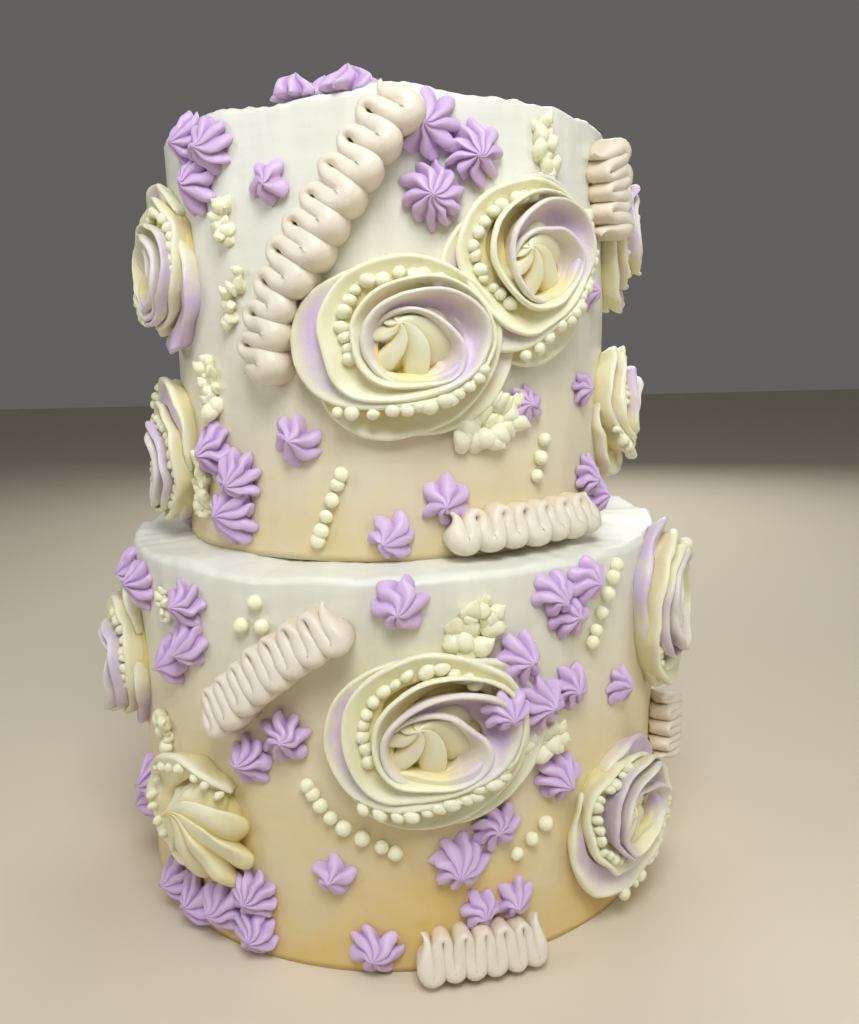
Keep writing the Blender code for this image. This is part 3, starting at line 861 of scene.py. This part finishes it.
class CAKE_OT_stage(CakeOperator):
    """Set up the camera, the soft lights and the pale floor"""

    bl_idname = "cake.stage"
    bl_label = "Stage"

    def execute(self, context):
        camera = bpy.data.cameras.new("camera")
        camera.sensor_fit = "VERTICAL"
        camera.sensor_height = SENSOR
        camera.lens = CAMERA_LENS
        obj = bpy.data.objects.new("camera", camera)
        turn = (
            Matrix.Rotation(-math.radians(CAMERA_YAW), 4, "Z")
            @ Matrix.Rotation(math.radians(90.0 + CAMERA_PITCH), 4, "X")
            @ Matrix.Rotation(math.radians(CAMERA_ROLL), 4, "Z")
        )
        obj.matrix_world = Matrix.Translation(CAMERA_PLACE) @ turn
        context.scene.collection.objects.link(obj)
        context.scene.camera = obj

        for row in LIGHTS:
            add_light(*row)

        world = bpy.data.worlds.new("studio")
        world.use_nodes = True
        background = world.node_tree.nodes["Background"]
        background.inputs["Color"].default_value = ROOM_COLOR
        background.inputs["Strength"].default_value = ROOM_STRENGTH
        context.scene.world = world
        context.scene.view_settings.view_transform = "Standard"

        bpy.ops.object.select_all(action="DESELECT")
        bpy.ops.mesh.primitive_plane_add(size=FLOOR_SIZE)
        floor = context.object
        floor.name = "floor"
        paint = Icing("floor_paint", 0.8)
        tone = paint.grain(paint.coordinates(), 0.4)
        floor.data.materials.append(paint.finish(paint.blend(tone, *FLOOR_TONES)))
        return {"FINISHED"}


# A tier's rings up its wall, round its rim and in to its middle, and its steps round the axis
WALL_RINGS = 56
RIM_RINGS = 5
TOP_RINGS = 22
TIER_STEPS = 260
RIM_ROUND = 2.5 * MM
# How deep its icing's broad hollows, drag marks and fine marks are, and how uneven its top is
HOLLOWS = 0.65 * MM
DRAG_MARKS = 0.25 * MM
FINE_MARKS = 0.14 * MM
TOP_WAVE = 0.8 * MM
# The upper rim swells at its front: where, how far to each side, how high, and the rest's drop
SWELL_AZIMUTH = math.radians(2.0)
SWELL_SPREAD = 0.16
SWELL = 4.2 * MM
SWELL_DROP = 1.5 * MM


def tier_profile(tier):
    """Distance from the axis and height of a tier's outline, from its foot to its top."""
    wall = [(tier.radius, z) for z in np.linspace(0.0, tier.height - RIM_ROUND, WALL_RINGS)]
    corner = [
        (
            tier.radius - RIM_ROUND * (1 - math.cos(angle)),
            tier.height - RIM_ROUND * (1 - math.sin(angle)),
        )
        for angle in np.linspace(0.2, math.pi / 2.0, RIM_RINGS)
    ]
    top = [(r, tier.height) for r in np.linspace(tier.radius - 2 * RIM_ROUND, 0.0, TOP_RINGS)]
    return [(0.0, 0.0), (tier.radius * 0.97, 0.0)] + wall + corner + top


def tier_relief(points, tier):
    """Uneven icing: broad hollows and drag marks on the side, and a wavy rim."""
    rim_wave = bpy.context.scene.cake_sizes.rim_wave
    out = np.empty_like(points)
    for i, (x, y, z) in enumerate(points):
        reach = math.hypot(x, y)
        angle = math.atan2(x, -y)
        around = Vector((math.sin(angle), math.cos(angle), 0.0))
        outward = min(reach / tier.radius, 1.0)
        high = z / tier.height
        broad = noise.noise(around * 3.1 + Vector((0, 0, z / (60 * MM))))
        drag = noise.noise(around * 26.0 + Vector((0, 0, z / (140 * MM))))
        fine = noise.noise(around * 12.0 + Vector((0, 0, z / (7 * MM))))
        shift = HOLLOWS * broad + DRAG_MARKS * drag + FINE_MARKS * fine
        if z < 1e-5 or reach < 1e-6:
            shift = 0.0
        rim = min(max((high - 0.9) / 0.1, 0.0), 1.0) ** 2
        lip = noise.noise(around * 6.0) + 0.5 * noise.noise(around * 19.0 + Vector((9, 0, 0)))
        lip += 0.45 * noise.noise(around * 31.0 + Vector((0, 4, 0)))
        lift = rim_wave * lip * rim * outward**3
        if tier is UPPER:
            swell = math.exp(-(((angle - SWELL_AZIMUTH) / SWELL_SPREAD) ** 2))
            lift += (SWELL * swell - SWELL_DROP) * rim * outward**6
        if high > 0.999:
            lift += noise.noise(Vector((x, y, 3.0)) / (28 * MM)) * TOP_WAVE
        grow = (reach + shift * outward**8) / reach if reach > 1e-6 else 1.0
        out[i] = (x * grow, y * grow, z + lift)
    return out


def build_tier(tier, icing):
    """A tier's icing, spun from its outline."""
    bpy.ops.object.select_all(action="DESELECT")
    profile = tier_profile(tier)
    bpy.ops.mesh.primitive_plane_add(size=tier.radius)
    obj = bpy.context.object
    bpy.ops.object.mode_set(mode="EDIT")
    bpy.ops.mesh.merge(type="CENTER")
    here = profile[0]
    for reach, z in profile[1:]:
        step = (reach - here[0], 0.0, z - here[1])
        bpy.ops.mesh.extrude_region_move(TRANSFORM_OT_translate={"value": step})
        here = (reach, z)
    bpy.ops.mesh.select_all(action="SELECT")
    bpy.ops.mesh.spin(steps=TIER_STEPS, angle=TURN, center=(0, 0, 0), axis=(0, 0, 1))
    bpy.ops.object.mode_set(mode="OBJECT")
    merge_doubles(obj)
    # painted shade and warm bounce light: a mask that grows towards the foot, steeply on the upper
    # tier and more evenly on the lower one
    low = np.clip(1.0 - points_of(obj)[:, 2] / tier.height, 0.0, 1.0)
    set_mask(obj, "warm", 0.75 * low**2.4 if tier is UPPER else low**0.9)
    points = tier_relief(points_of(obj), tier)
    points[:, 2] += tier.foot
    move_points(obj, points)
    obj.name = tier.node + "_icing"
    return finish(obj, tier.node, icing)


class CAKE_OT_tiers(CakeOperator):
    """Ice the two tiers"""

    bl_idname = "cake.tiers"
    bl_label = "Tiers"

    def execute(self, context):
        icing = cream_icing()
        for tier in (LOWER, UPPER):
            build_tier(tier, icing)
        return {"FINISHED"}


def ribbon_at(rows, turns):
    """A ribbon's reach, rise, breadth, dip and lean at numbers of turns."""
    rows = np.array(rows, dtype=float)
    fine = curve_through(rows, np.linspace(0.0, 1.0, 40 * len(rows)))
    return [np.interp(turns, fine[:, 0], fine[:, k]) for k in range(1, 6)]


def round_eye(turns, reach):
    """Flat places at turns clockwise from the foot, and at a reach from the eye."""
    angle = -TURN * (np.asarray(turns) + 0.25)
    return ROSETTE_EYE[0] + reach * np.cos(angle), ROSETTE_EYE[1] + reach * np.sin(angle)


def set_inner_face(points, breadth, dip):
    """Lay a ribbon's inner face from its lip, ring by ring."""
    rings = points.reshape(-1, len(RIBBON_SECTION), 3)
    lip = rings[:, 0].copy()
    inward = rings[:, -1] - lip
    inward[:, 2] = 0.0
    inward /= np.linalg.norm(inward, axis=1)[:, None]
    for k, (out_share, down_share) in enumerate(INNER_FACE, start=len(RIBBON_SIDE)):
        rings[:, k] = lip + inward * (breadth * MM * out_share)[:, None]
        rings[:, k, 2] = 0.0 if down_share is None else lip[:, 2] - dip * MM * down_share
    return rings.reshape(-1, 3)


def capped(values):
    """Values of a swept piece's rings, then those of its two caps, whose points come last."""
    return np.concatenate((values, values[[0, -1]]))


def ribbon(rows, section, lilac, seed, unrest=1.0):
    """One ribbon of a rosette, flat: across, up and out.

    Its lilac is a tuple of spans: first and last turn, strength and the section's shares.
    """
    first, last = rows[0][0], rows[-1][0]
    count = int((last - first) * STEPS_PER_TURN)
    turns = np.linspace(first, last, count + 1)
    reach, rise, breadth, dip, lean = ribbon_at(rows, turns)
    for often, aside, upward, layer in RIBBON_WAVES:
        wave = np.array([noise.noise(Vector((turn * often, seed, layer))) for turn in turns])
        reach = reach + unrest * aside * wave
        rise = rise + unrest * upward * wave
    across, up = round_eye(turns, reach)
    path = np.stack((across, up, rise), axis=1) * MM
    obj = sweep("ribbon", path, np.full(len(turns), MM), np.radians(-lean), section)
    move_points(obj, set_inner_face(points_of(obj), capped(breadth), capped(dip)))
    along = capped(turns)
    mask = np.zeros((len(along), len(RIBBON_SECTION)))
    for start, end, strength, shares in lilac:
        inside = np.clip(np.minimum(along - start, end - along) / 0.08, 0.0, 1.0)
        mask = np.maximum(mask, strength * inside[:, None] * np.array(shares)[None, :])
    set_mask(obj, "lilac", mask.ravel())
    # painted shade in the fold, stronger on the inner face where it dips deeper
    face = np.clip(capped(dip)[:, None] / 5.0, 0.6, 1.0) * np.array(FACE_SHADE)[None, :]
    side = np.repeat(np.array(SIDE_SHADE)[None, :], len(along), axis=0)
    set_mask(obj, "deep", np.hstack((side, face)).ravel())
    return obj


def eye(shape, center, across, top, point):
    """The ridged eye of a rosette, with its point off its middle."""
    obj = copy_of(shape)
    points = points_of(obj)
    lean = np.clip(points[:, 2], 0.0, 1.0) ** 1.5
    low = np.clip(1.0 - points[:, 2], 0.0, 1.0)
    points[:, 0] = center[0] + points[:, 0] * across + lean * point[0]
    points[:, 1] = center[1] + points[:, 1] * across + lean * point[1]
    points[:, 2] = EYE_FOOT + points[:, 2] * (top - EYE_FOOT)
    # behind the point, away from where the ridges run, the eye drops off
    away = np.array(point) / np.hypot(*point)
    behind = (points[:, 0] - center[0] - point[0]) * away[0]
    behind += (points[:, 1] - center[1] - point[1]) * away[1]
    drop = np.clip(behind / EYE_DROP, 0.0, 1.0)
    points[:, 2] -= EYE_DROP * drop * drop * (3.0 - 2.0 * drop)
    move_points(obj, points * MM)
    # painted shade on the eye's lower parts, which adds to that in its grooves
    set_mask(obj, "deep", np.maximum(mask_of(obj, "deep"), low**1.3))
    return obj


def mound(ball, center, across, top):
    """A low mound under the ribbons, all in painted shade."""
    obj = copy_of(ball)
    points = points_of(obj) * (across, across, 2.0 * top) + (*center, 0.0)
    move_points(obj, points * MM)
    # painted shade over the whole mound
    set_mask(obj, "deep", np.ones(len(points)))
    return obj


def pearl_string(ball, rows, first, last, inward, rise, count, rng):
    """Pearls beside a ribbon's lip, between two turns."""
    pearls = []
    turns = np.linspace(first, last, count)
    reach, lip = ribbon_at(rows, turns)[:2]
    across, up = round_eye(turns, reach - np.linspace(*inward, count))
    for x, y, z in zip(across, up, lip + rise):
        pearl = copy_of(ball)
        points = wobble(points_of(pearl), 0.8, 0.08, rng.random() * 30.0)
        points = points * ROSETTE_PEARL * rng.uniform(0.8, 1.2)
        points += np.array((x + rng.uniform(-0.9, 0.9), y + rng.uniform(-0.9, 0.9), z)) * MM
        move_points(pearl, points)
        pearls.append(pearl)
    return pearls


def rose(section, shape, ball, seed, unrest, rng):
    """A rose: two wound ribbons and an outer one round its eye, with two strings of pearls."""
    inner = [(1.08, 1.46, 1.0, INSIDE), (-0.6, 0.02, 0.5, ALL_OVER)]
    outer = [(1.55, 1.9, 0.8, TINTED)]
    if unrest > 2.0:
        start = rng.uniform(0.1, 0.5)
        inner.append((start, start + 0.45, 0.9, ALL_OVER))
        outer.append((1.6, 2.0, 1.0, ALL_OVER))
    pieces = [
        ribbon(FIRST_RIBBON, section, inner, seed, unrest),
        ribbon(SECOND_RIBBON, section, ((0.0, 1.0, 1.0, TINTED),), seed + 7.5, unrest),
        ribbon(LAST_RIBBON, section, outer, seed + 3.1, unrest),
    ]
    for piece in pieces:
        merge_doubles(piece)
        subdivide(piece)
    center = (ROSETTE_EYE[0], ROSETTE_EYE[1] - 2.0)
    pieces.append(eye(shape, center, EYE_ACROSS, EYE_TOP, EYE_POINT))
    pieces.append(mound(ball, (2.0, 0.5), 55.0, 5.4))
    pieces += pearl_string(ball, SECOND_RIBBON, 1.22, 1.58, (6.6, 4.4), -1.8, 14, rng)
    pieces += pearl_string(ball, FIRST_RIBBON, 0.82, 1.13, (0.4, -2.6), -1.1, 13, rng)
    return pieces


def bud(section, shape, ball, seed, rng):
    """A bud: long ridges fan from a point at its upper left, beside an arc with pearls."""
    arc = ribbon(BUD_RIBBON, section, (), seed)
    merge_doubles(arc)
    subdivide(arc)
    pieces = [arc]
    pieces.append(eye(shape, (5.5, -4.0), 50.0, 14.5, (-13.0, 14.0)))
    pieces.append(mound(ball, (-3.0, 4.0), 46.0, 8.5))
    pieces += pearl_string(ball, BUD_RIBBON, 0.16, 0.56, (4.0, 4.0), -0.8, 13, rng)
    return pieces


def build_rosette(rosette, pieces, icing, seed):
    """A rosette put together flat, made uneven, turned and wrapped on its tier."""
    obj = join(pieces, rosette.node + "_icing")
    points = wobble(points_of(obj), 12 * MM, 0.6 * rosette.unrest * MM, seed)
    points = wobble(points, 2.5 * MM, 0.12 * MM, seed + 2.0)
    edge = 0.5 * ROSETTE_ACROSS * MM
    pull = np.clip(1.0 - (points[:, 0] ** 2 + points[:, 1] ** 2) / edge**2, 0.0, 1.0)
    points[:, 0] += rosette.shift[0] * MM * pull
    points[:, 1] += rosette.shift[1] * MM * pull
    points = turned(points, -math.radians(rosette.turn))
    points[:, 0] *= rosette.across / ROSETTE_ACROSS
    points[:, 1] *= rosette.up / ROSETTE_ACROSS
    points[:, 2] = np.maximum(points[:, 2], -SINK)
    move_points(obj, on_tier(points, rosette.tier, rosette.azimuth, rosette.height))
    return finish(obj, rosette.node, icing)


class CAKE_OT_rosettes(CakeOperator):
    """Pipe the rosettes"""

    bl_idname = "cake.rosettes"
    bl_label = "Rosettes"

    def execute(self, context):
        icing = rosette_icing()
        section = closed_section(RIBBON_SECTION)
        eye_shape = star_shape(EYE_RIDGES, EYE_TWIST, EYE_VALLEY, EYE_RINGS)
        subdivide(eye_shape)
        fan_shape = star_shape(8, -42.0, 0.5, EYE_RINGS)
        subdivide(fan_shape)
        bpy.ops.object.select_all(action="DESELECT")
        bpy.ops.mesh.primitive_ico_sphere_add(subdivisions=2, radius=0.5)
        ball = context.object
        for i, rosette in enumerate(ROSETTES):
            rng = random.Random(i)
            if rosette.node == "rosette_lower_left":
                pieces = bud(section, fan_shape, ball, i, rng)
            else:
                pieces = rose(section, eye_shape, ball, i, rosette.unrest, rng)
            build_rosette(rosette, pieces, icing, i)
        remove(section, eye_shape, fan_shape, ball)
        return {"FINISHED"}


# A star's rings from its foot to its point: rise, reach and turn as shares
STAR_RINGS = (
    (0.00, 0.90, 0.0),
    (0.09, 1.00, 0.0),
    (0.22, 0.98, 0.08),
    (0.38, 0.90, 0.18),
    (0.54, 0.76, 0.32),
    (0.68, 0.59, 0.48),
    (0.80, 0.42, 0.66),
    (0.90, 0.26, 0.84),
    (0.99, 0.12, 1.0),
)
EYE_RINGS = (
    (0.00, 1.00, 0.0),
    (0.30, 1.00, 0.02),
    (0.52, 0.93, 0.10),
    (0.68, 0.80, 0.24),
    (0.80, 0.63, 0.42),
    (0.88, 0.46, 0.60),
    (0.94, 0.29, 0.80),
    (0.98, 0.13, 1.0),
)
STAR_STEPS = 8
RIDGE_CREST = 0.62
TIP_RISE = 0.09
# How unevenly a star is stretched, and how far its tip leans across and up, as shares
STAR_STRETCH = (0.98, 1.1)
LEAN_ACROSS = (-0.12, 0.12)
LEAN_UP = (-0.14, 0.08)


def star_shape(ridges, turn, valley, rings=STAR_RINGS):
    """A star 1 across and 1 deep, with its ridges turned on the way to its point."""
    bpy.ops.object.select_all(action="DESELECT")
    bpy.ops.mesh.primitive_circle_add(
        vertices=ridges * STAR_STEPS, radius=0.5 * rings[0][1], fill_type="NGON"
    )
    obj = bpy.context.object
    points = points_of(obj)
    angle = np.arctan2(points[:, 1], points[:, 0])
    phase = np.mod(angle * ridges / TURN, 1.0)
    half = np.minimum(phase / RIDGE_CREST, (1.0 - phase) / (1.0 - RIDGE_CREST))
    crest = np.sin(0.5 * math.pi * half) ** 0.8
    points *= (valley + (1.0 - valley) * crest)[:, None]
    move_points(obj, points)
    # painted shade in the grooves between the ridges
    set_mask(obj, "deep", (1.0 - crest) ** 1.5)
    bpy.ops.object.mode_set(mode="EDIT")
    bpy.ops.mesh.select_all(action="SELECT")
    for before, ring in zip(rings, rings[1:]):
        rise = (0.0, 0.0, ring[0] - before[0])
        bpy.ops.mesh.extrude_region_move(TRANSFORM_OT_translate={"value": rise})
        grow = ring[1] / before[1]
        bpy.ops.transform.resize(value=(grow, grow, 1.0), center_override=(0, 0, 0))
        bpy.ops.transform.rotate(
            value=math.radians(turn) * (ring[2] - before[2]),
            orient_axis="Z",
            center_override=(0, 0, 0),
        )
    bpy.ops.mesh.extrude_region_move(TRANSFORM_OT_translate={"value": (0.0, 0.0, TIP_RISE)})
    bpy.ops.mesh.merge(type="CENTER")
    bpy.ops.object.mode_set(mode="OBJECT")
    return obj


def place_star(shape, size, rng):
    """A star of a size in metres, uneven and a little askew, flat on its side."""
    depth = bpy.context.scene.cake_sizes.star_depth
    star = copy_of(shape)
    points = points_of(star)
    tall = points[:, 2].copy()
    points = wobble(points, 0.45, 0.10, rng.random() * 40.0)
    wide = size * rng.uniform(*STAR_STRETCH)
    points *= (wide, size * rng.uniform(*STAR_STRETCH), size * depth)
    points = turned(points, rng.uniform(0.0, TURN))
    points[:, 0] += tall**1.5 * size * rng.uniform(*LEAN_ACROSS)
    points[:, 1] += tall**1.5 * size * rng.uniform(*LEAN_UP)
    points[:, 2] -= 0.4 * MM
    move_points(star, points)
    return star


class CAKE_OT_stars(CakeOperator):
    """Pipe the stars"""

    bl_idname = "cake.stars"
    bl_label = "Stars"

    def execute(self, context):
        icing = lilac_icing()
        rng = random.Random(7)
        shapes = {}
        for ridges in range(5, 11):
            shapes[ridges] = star_shape(ridges, 34.0, 0.54)
            subdivide(shapes[ridges])
        for group in STARS:
            stars = []
            for azimuth, height, size, ridges, *lift in group.places:
                star = place_star(shapes[ridges], size * MM, rng)
                points = points_of(star)
                points[:, 2] += sum(lift) * MM
                move_points(star, on_tier(points, group.tier, azimuth, height))
                stars.append(star)
            finish(join(stars, group.node + "_icing"), group.node, icing)
        for node, places in TOP_STARS:
            stars = []
            for azimuth, distance, size, ridges in places:
                star = place_star(shapes[ridges], size * MM, rng)
                move_points(star, on_top(points_of(star), azimuth, distance))
                stars.append(star)
            finish(join(stars, node + "_icing"), node, icing)
        remove(*shapes.values())
        return {"FINISHED"}


# A ruffle's steps a fold, how far its bends turn in degrees, and half its thickness at its
# hooks and at its bulbs as shares of a fold's length
RUFFLE_STEPS = 20
RUFFLE_SWEEP = 102.0
HOOK_SHARE = 0.19
BULB_SHARE = 0.55
# Its height at a hook, what a bulb adds and what it ripples, as shares of its depth
HOOK_RISE = 0.74
BULB_RISE = 0.22
RISE_RIPPLE = 0.06
# How uneven its pace, swing, height and thickness are, and over what share of a fold it ends
PACE_SWAY = 0.14
SWING_SWAY = 0.2
HEIGHT_SWAY = 0.06
THICKNESS_SWAY = 0.16
END_TAPER = 0.35
# A wall with a round top, 1 to each side: across and up from the middle of the round
WALL_SECTION = (
    (1.0, -0.6),
    (0.92, 0.35),
    (0.55, 0.85),
    (0.0, 1.0),
    (-0.55, 0.85),
    (-0.92, 0.35),
    (-1.0, -0.6),
    (-0.9, -6.0),
    (0.9, -6.0),
)
# How much painted shade each point of the wall takes: more down its sides and most at its foot
WALL_SHADE = (0.4, 0.15, 0.05, 0.0, 0.05, 0.15, 0.4, 0.7, 0.7)


def meander(folds, steps):
    """A river's bends: along and aside at even steps, 1 long a bend and from -1 to 1."""
    phase = np.linspace(0.0, folds * TURN, folds * steps + 1)
    heading = math.radians(RUFFLE_SWEEP) * np.sin(phase)
    middle = 0.5 * (heading[1:] + heading[:-1])
    along = np.concatenate(([0.0], np.cumsum(np.cos(middle))))
    aside = np.concatenate(([0.0], np.cumsum(np.sin(middle))))
    along *= folds / along[-1]
    aside = 2.0 * (aside - aside.min()) / (aside.max() - aside.min()) - 1.0
    return phase, along, aside


def build_ruffle(ruffle, section, icing, seed):
    """A band of icing laid to and fro: tight hooks on one side and full bulbs on the other."""
    tier = ruffle.tier
    middle = ruffle.places[len(ruffle.places) // 2]
    flat = [
        (math.radians(azimuth - middle[0]) * tier.radius, (height - middle[1]) * MM)
        for azimuth, height in ruffle.places
    ]
    phase, along, aside = meander(ruffle.folds, RUFFLE_STEPS)
    fine = curve_through(flat, np.linspace(0.0, 1.0, 200))
    lengths = np.concatenate(([0.0], np.cumsum(np.linalg.norm(np.diff(fine, axis=0), axis=1))))
    sway = np.array([noise.noise(Vector((u * 1.3, seed, 5.0))) for u in phase / TURN])
    pace = along + PACE_SWAY * sway * np.sin(phase / ruffle.folds / 2)
    distance = lengths[-1] * pace / ruffle.folds
    line = np.column_stack([np.interp(distance, lengths, fine[:, k]) for k in (0, 1)])
    tangent = np.gradient(fine, axis=0)
    ahead = np.column_stack([np.interp(distance, lengths, tangent[:, k]) for k in (0, 1)])
    ahead /= np.linalg.norm(ahead, axis=1)[:, None]
    side = np.stack((ahead[:, 1], -ahead[:, 0]), axis=1)
    pitch = lengths[-1] / ruffle.folds
    thin = HOOK_SHARE * pitch
    full = BULB_SHARE * pitch
    share = 0.5 + 0.5 * aside
    sizes = thin + (full - thin) * share
    swing = 0.5 * (ruffle.width * MM - thin - full)
    across = aside * swing * (1.0 + SWING_SWAY * sway) + 0.5 * (thin - full)
    depth = bpy.context.scene.cake_sizes.ruffle_depth
    top = depth * (HOOK_RISE + RISE_RIPPLE * np.sin(phase - 0.5 * math.pi) + BULB_RISE * share)
    top *= 1.0 + HEIGHT_SWAY * sway
    ends = np.minimum(phase, phase[-1] - phase) / TURN
    taper = np.sin(np.clip(ends / END_TAPER, 0.0, 1.0) * math.pi / 2.0)
    sizes *= (0.3 + 0.7 * taper) * (1.0 + THICKNESS_SWAY * sway)
    top *= 0.55 + 0.45 * taper
    path = np.column_stack((line + side * across[:, None], top - sizes))
    obj = sweep(ruffle.node + "_icing", path, sizes, np.zeros(len(path)), section)
    # painted shade down the wall's sides and at its foot
    set_mask(obj, "deep", np.tile(WALL_SHADE, len(points_of(obj)) // len(WALL_SHADE)))
    merge_doubles(obj)
    subdivide(obj)
    points = wobble(points_of(obj), 7 * MM, 0.35 * MM, seed)
    points[:, 2] = np.maximum(points[:, 2], -SINK)
    move_points(obj, on_tier(points, tier, *middle))
    return finish(obj, ruffle.node, icing)


class CAKE_OT_ruffles(CakeOperator):
    """Pipe the folded ribbons"""

    bl_idname = "cake.ruffles"
    bl_label = "Ruffles"

    def execute(self, context):
        icing = ruffle_icing()
        section = closed_section(WALL_SECTION)
        for i, ruffle in enumerate(RUFFLES):
            build_ruffle(ruffle, section, icing, 3.7 * i + 1.3)
        remove(section)
        return {"FINISHED"}


# How flat a pearl on a tier is, and how far out its middle is, as shares of its width
PEARL_FLATNESS = 0.9
PEARL_SEAT = 0.3


class CAKE_OT_pearls(CakeOperator):
    """Pipe the strings of pearls"""

    bl_idname = "cake.pearls"
    bl_label = "Pearls"

    def execute(self, context):
        icing = shared("leaf_icing", leaf_icing)
        size = context.scene.cake_sizes.pearl
        rng = random.Random(3)
        bpy.ops.object.select_all(action="DESELECT")
        bpy.ops.mesh.primitive_ico_sphere_add(subdivisions=3, radius=0.5)
        ball = context.object
        for tier in (LOWER, UPPER):
            pearls = []
            for string_tier, places, count in PEARL_STRINGS:
                if string_tier is not tier:
                    continue
                spots = curve_through(places, np.linspace(0.0, 1.0, count))
                for azimuth, height in spots:
                    pearl = copy_of(ball)
                    points = wobble(points_of(pearl), 0.8, 0.06, rng.random() * 30)
                    points *= size * rng.uniform(0.9, 1.1)
                    points[:, 2] = points[:, 2] * PEARL_FLATNESS + size * PEARL_SEAT
                    move_points(pearl, on_tier(points, tier, azimuth, height))
                    pearls.append(pearl)
            name = tier.node.replace("tier", "pearls")
            finish(join(pearls, name), tier.node, icing)
        remove(ball)
        return {"FINISHED"}


class CAKE_OT_leaves(CakeOperator):
    """Pipe the tufts of small leaves"""

    bl_idname = "cake.leaves"
    bl_label = "Leaves"

    def execute(self, context):
        icing = shared("leaf_icing", leaf_icing)
        rng = random.Random(5)
        bpy.ops.object.select_all(action="DESELECT")
        bpy.ops.mesh.primitive_uv_sphere_add(segments=14, ring_count=10, radius=0.5)
        drop = context.object
        points = points_of(drop)
        # the sphere's poles become the leaf's heel and tip
        points = points[:, (2, 0, 1)]
        taper = np.clip(0.5 - points[:, 0], 0.0, 1.0) ** 0.5
        points[:, 1] *= taper * 1.1
        points[:, 2] *= taper * 1.1
        move_points(drop, points)
        merge_doubles(drop)
        for tier in (LOWER, UPPER):
            leaves = []
            for row in LEAF_TUFTS:
                if row[0] is tier:
                    leaves += self.tuft(drop, row, rng)
            name = tier.node.replace("tier", "leaves")
            finish(join(leaves, name), tier.node, icing)
        remove(drop)
        return {"FINISHED"}

    @staticmethod
    def tuft(drop, row, rng):
        """The leaves of one tuft: pointed drops that fan from its stem, some on others."""
        tier, azimuth, height, length, width, direction, count, leaf = row
        stem = math.radians(direction)
        made = []
        for i in range(count):
            share = (i + rng.uniform(0.0, 1.0)) / count - 0.5
            side = 1 if i % 2 else -1
            turn = stem + side * rng.uniform(0.2, 1.5) + (math.pi if share < -0.25 else 0.0)
            offset = 0.5 * width * rng.uniform(0.0, 1.0) * side * math.cos(share * 2.2)
            across = length * share * math.cos(stem) - offset * math.sin(stem)
            up = length * share * math.sin(stem) + offset * math.cos(stem)
            twin = copy_of(drop)
            grow = leaf * MM * rng.uniform(0.55, 0.9)
            points = points_of(twin) * (grow, grow, grow * 0.9)
            points[:, 2] += points[:, 0] * rng.uniform(0.1, 0.7)
            points = turned(wobble(points, 2.0 * MM, 0.7 * MM, rng.random() * 30), turn)
            points += np.array((across, up, rng.uniform(0.6, 3.2))) * MM
            move_points(twin, on_tier(points, tier, azimuth, height))
            made.append(twin)
        return made


class CAKE_PT_panel(bpy.types.Panel):
    """Lists the steps that build the cake"""

    bl_idname = "CAKE_PT_panel"
    bl_label = "Piped Tier Cake"
    bl_space_type = "VIEW_3D"
    bl_region_type = "UI"
    bl_category = "Cake"

    def draw(self, context):
        for group in (context.scene.cake_sizes, context.scene.cake_colors):
            for name in group.__annotations__:
                self.layout.prop(group, name)
        for operator in OPERATORS:
            self.layout.operator(operator.bl_idname)


OPERATORS = (
    CAKE_OT_stage,
    CAKE_OT_tiers,
    CAKE_OT_rosettes,
    CAKE_OT_stars,
    CAKE_OT_ruffles,
    CAKE_OT_pearls,
    CAKE_OT_leaves,
)
CLASSES = (CakeSizes, CakeColors, *OPERATORS, CAKE_PT_panel)


def register():
    """Register the classes and the scene's settings."""
    for cls in CLASSES:
        bpy.utils.register_class(cls)
    bpy.types.Scene.cake_sizes = bpy.props.PointerProperty(type=CakeSizes)
    bpy.types.Scene.cake_colors = bpy.props.PointerProperty(type=CakeColors)


def unregister():
    """Remove the scene's settings and the classes."""
    del bpy.types.Scene.cake_colors
    del bpy.types.Scene.cake_sizes
    for cls in reversed(CLASSES):
        bpy.utils.unregister_class(cls)


def main():
    """Build the cake."""
    register()
    # without a seed, noise vectors differ from run to run
    noise.seed_set(NOISE_SEED)
    bpy.ops.cake.stage()
    bpy.ops.cake.tiers()
    bpy.ops.cake.rosettes()
    bpy.ops.cake.stars()
    bpy.ops.cake.ruffles()
    bpy.ops.cake.pearls()
    bpy.ops.cake.leaves()


if __name__ == "__main__":
    main()
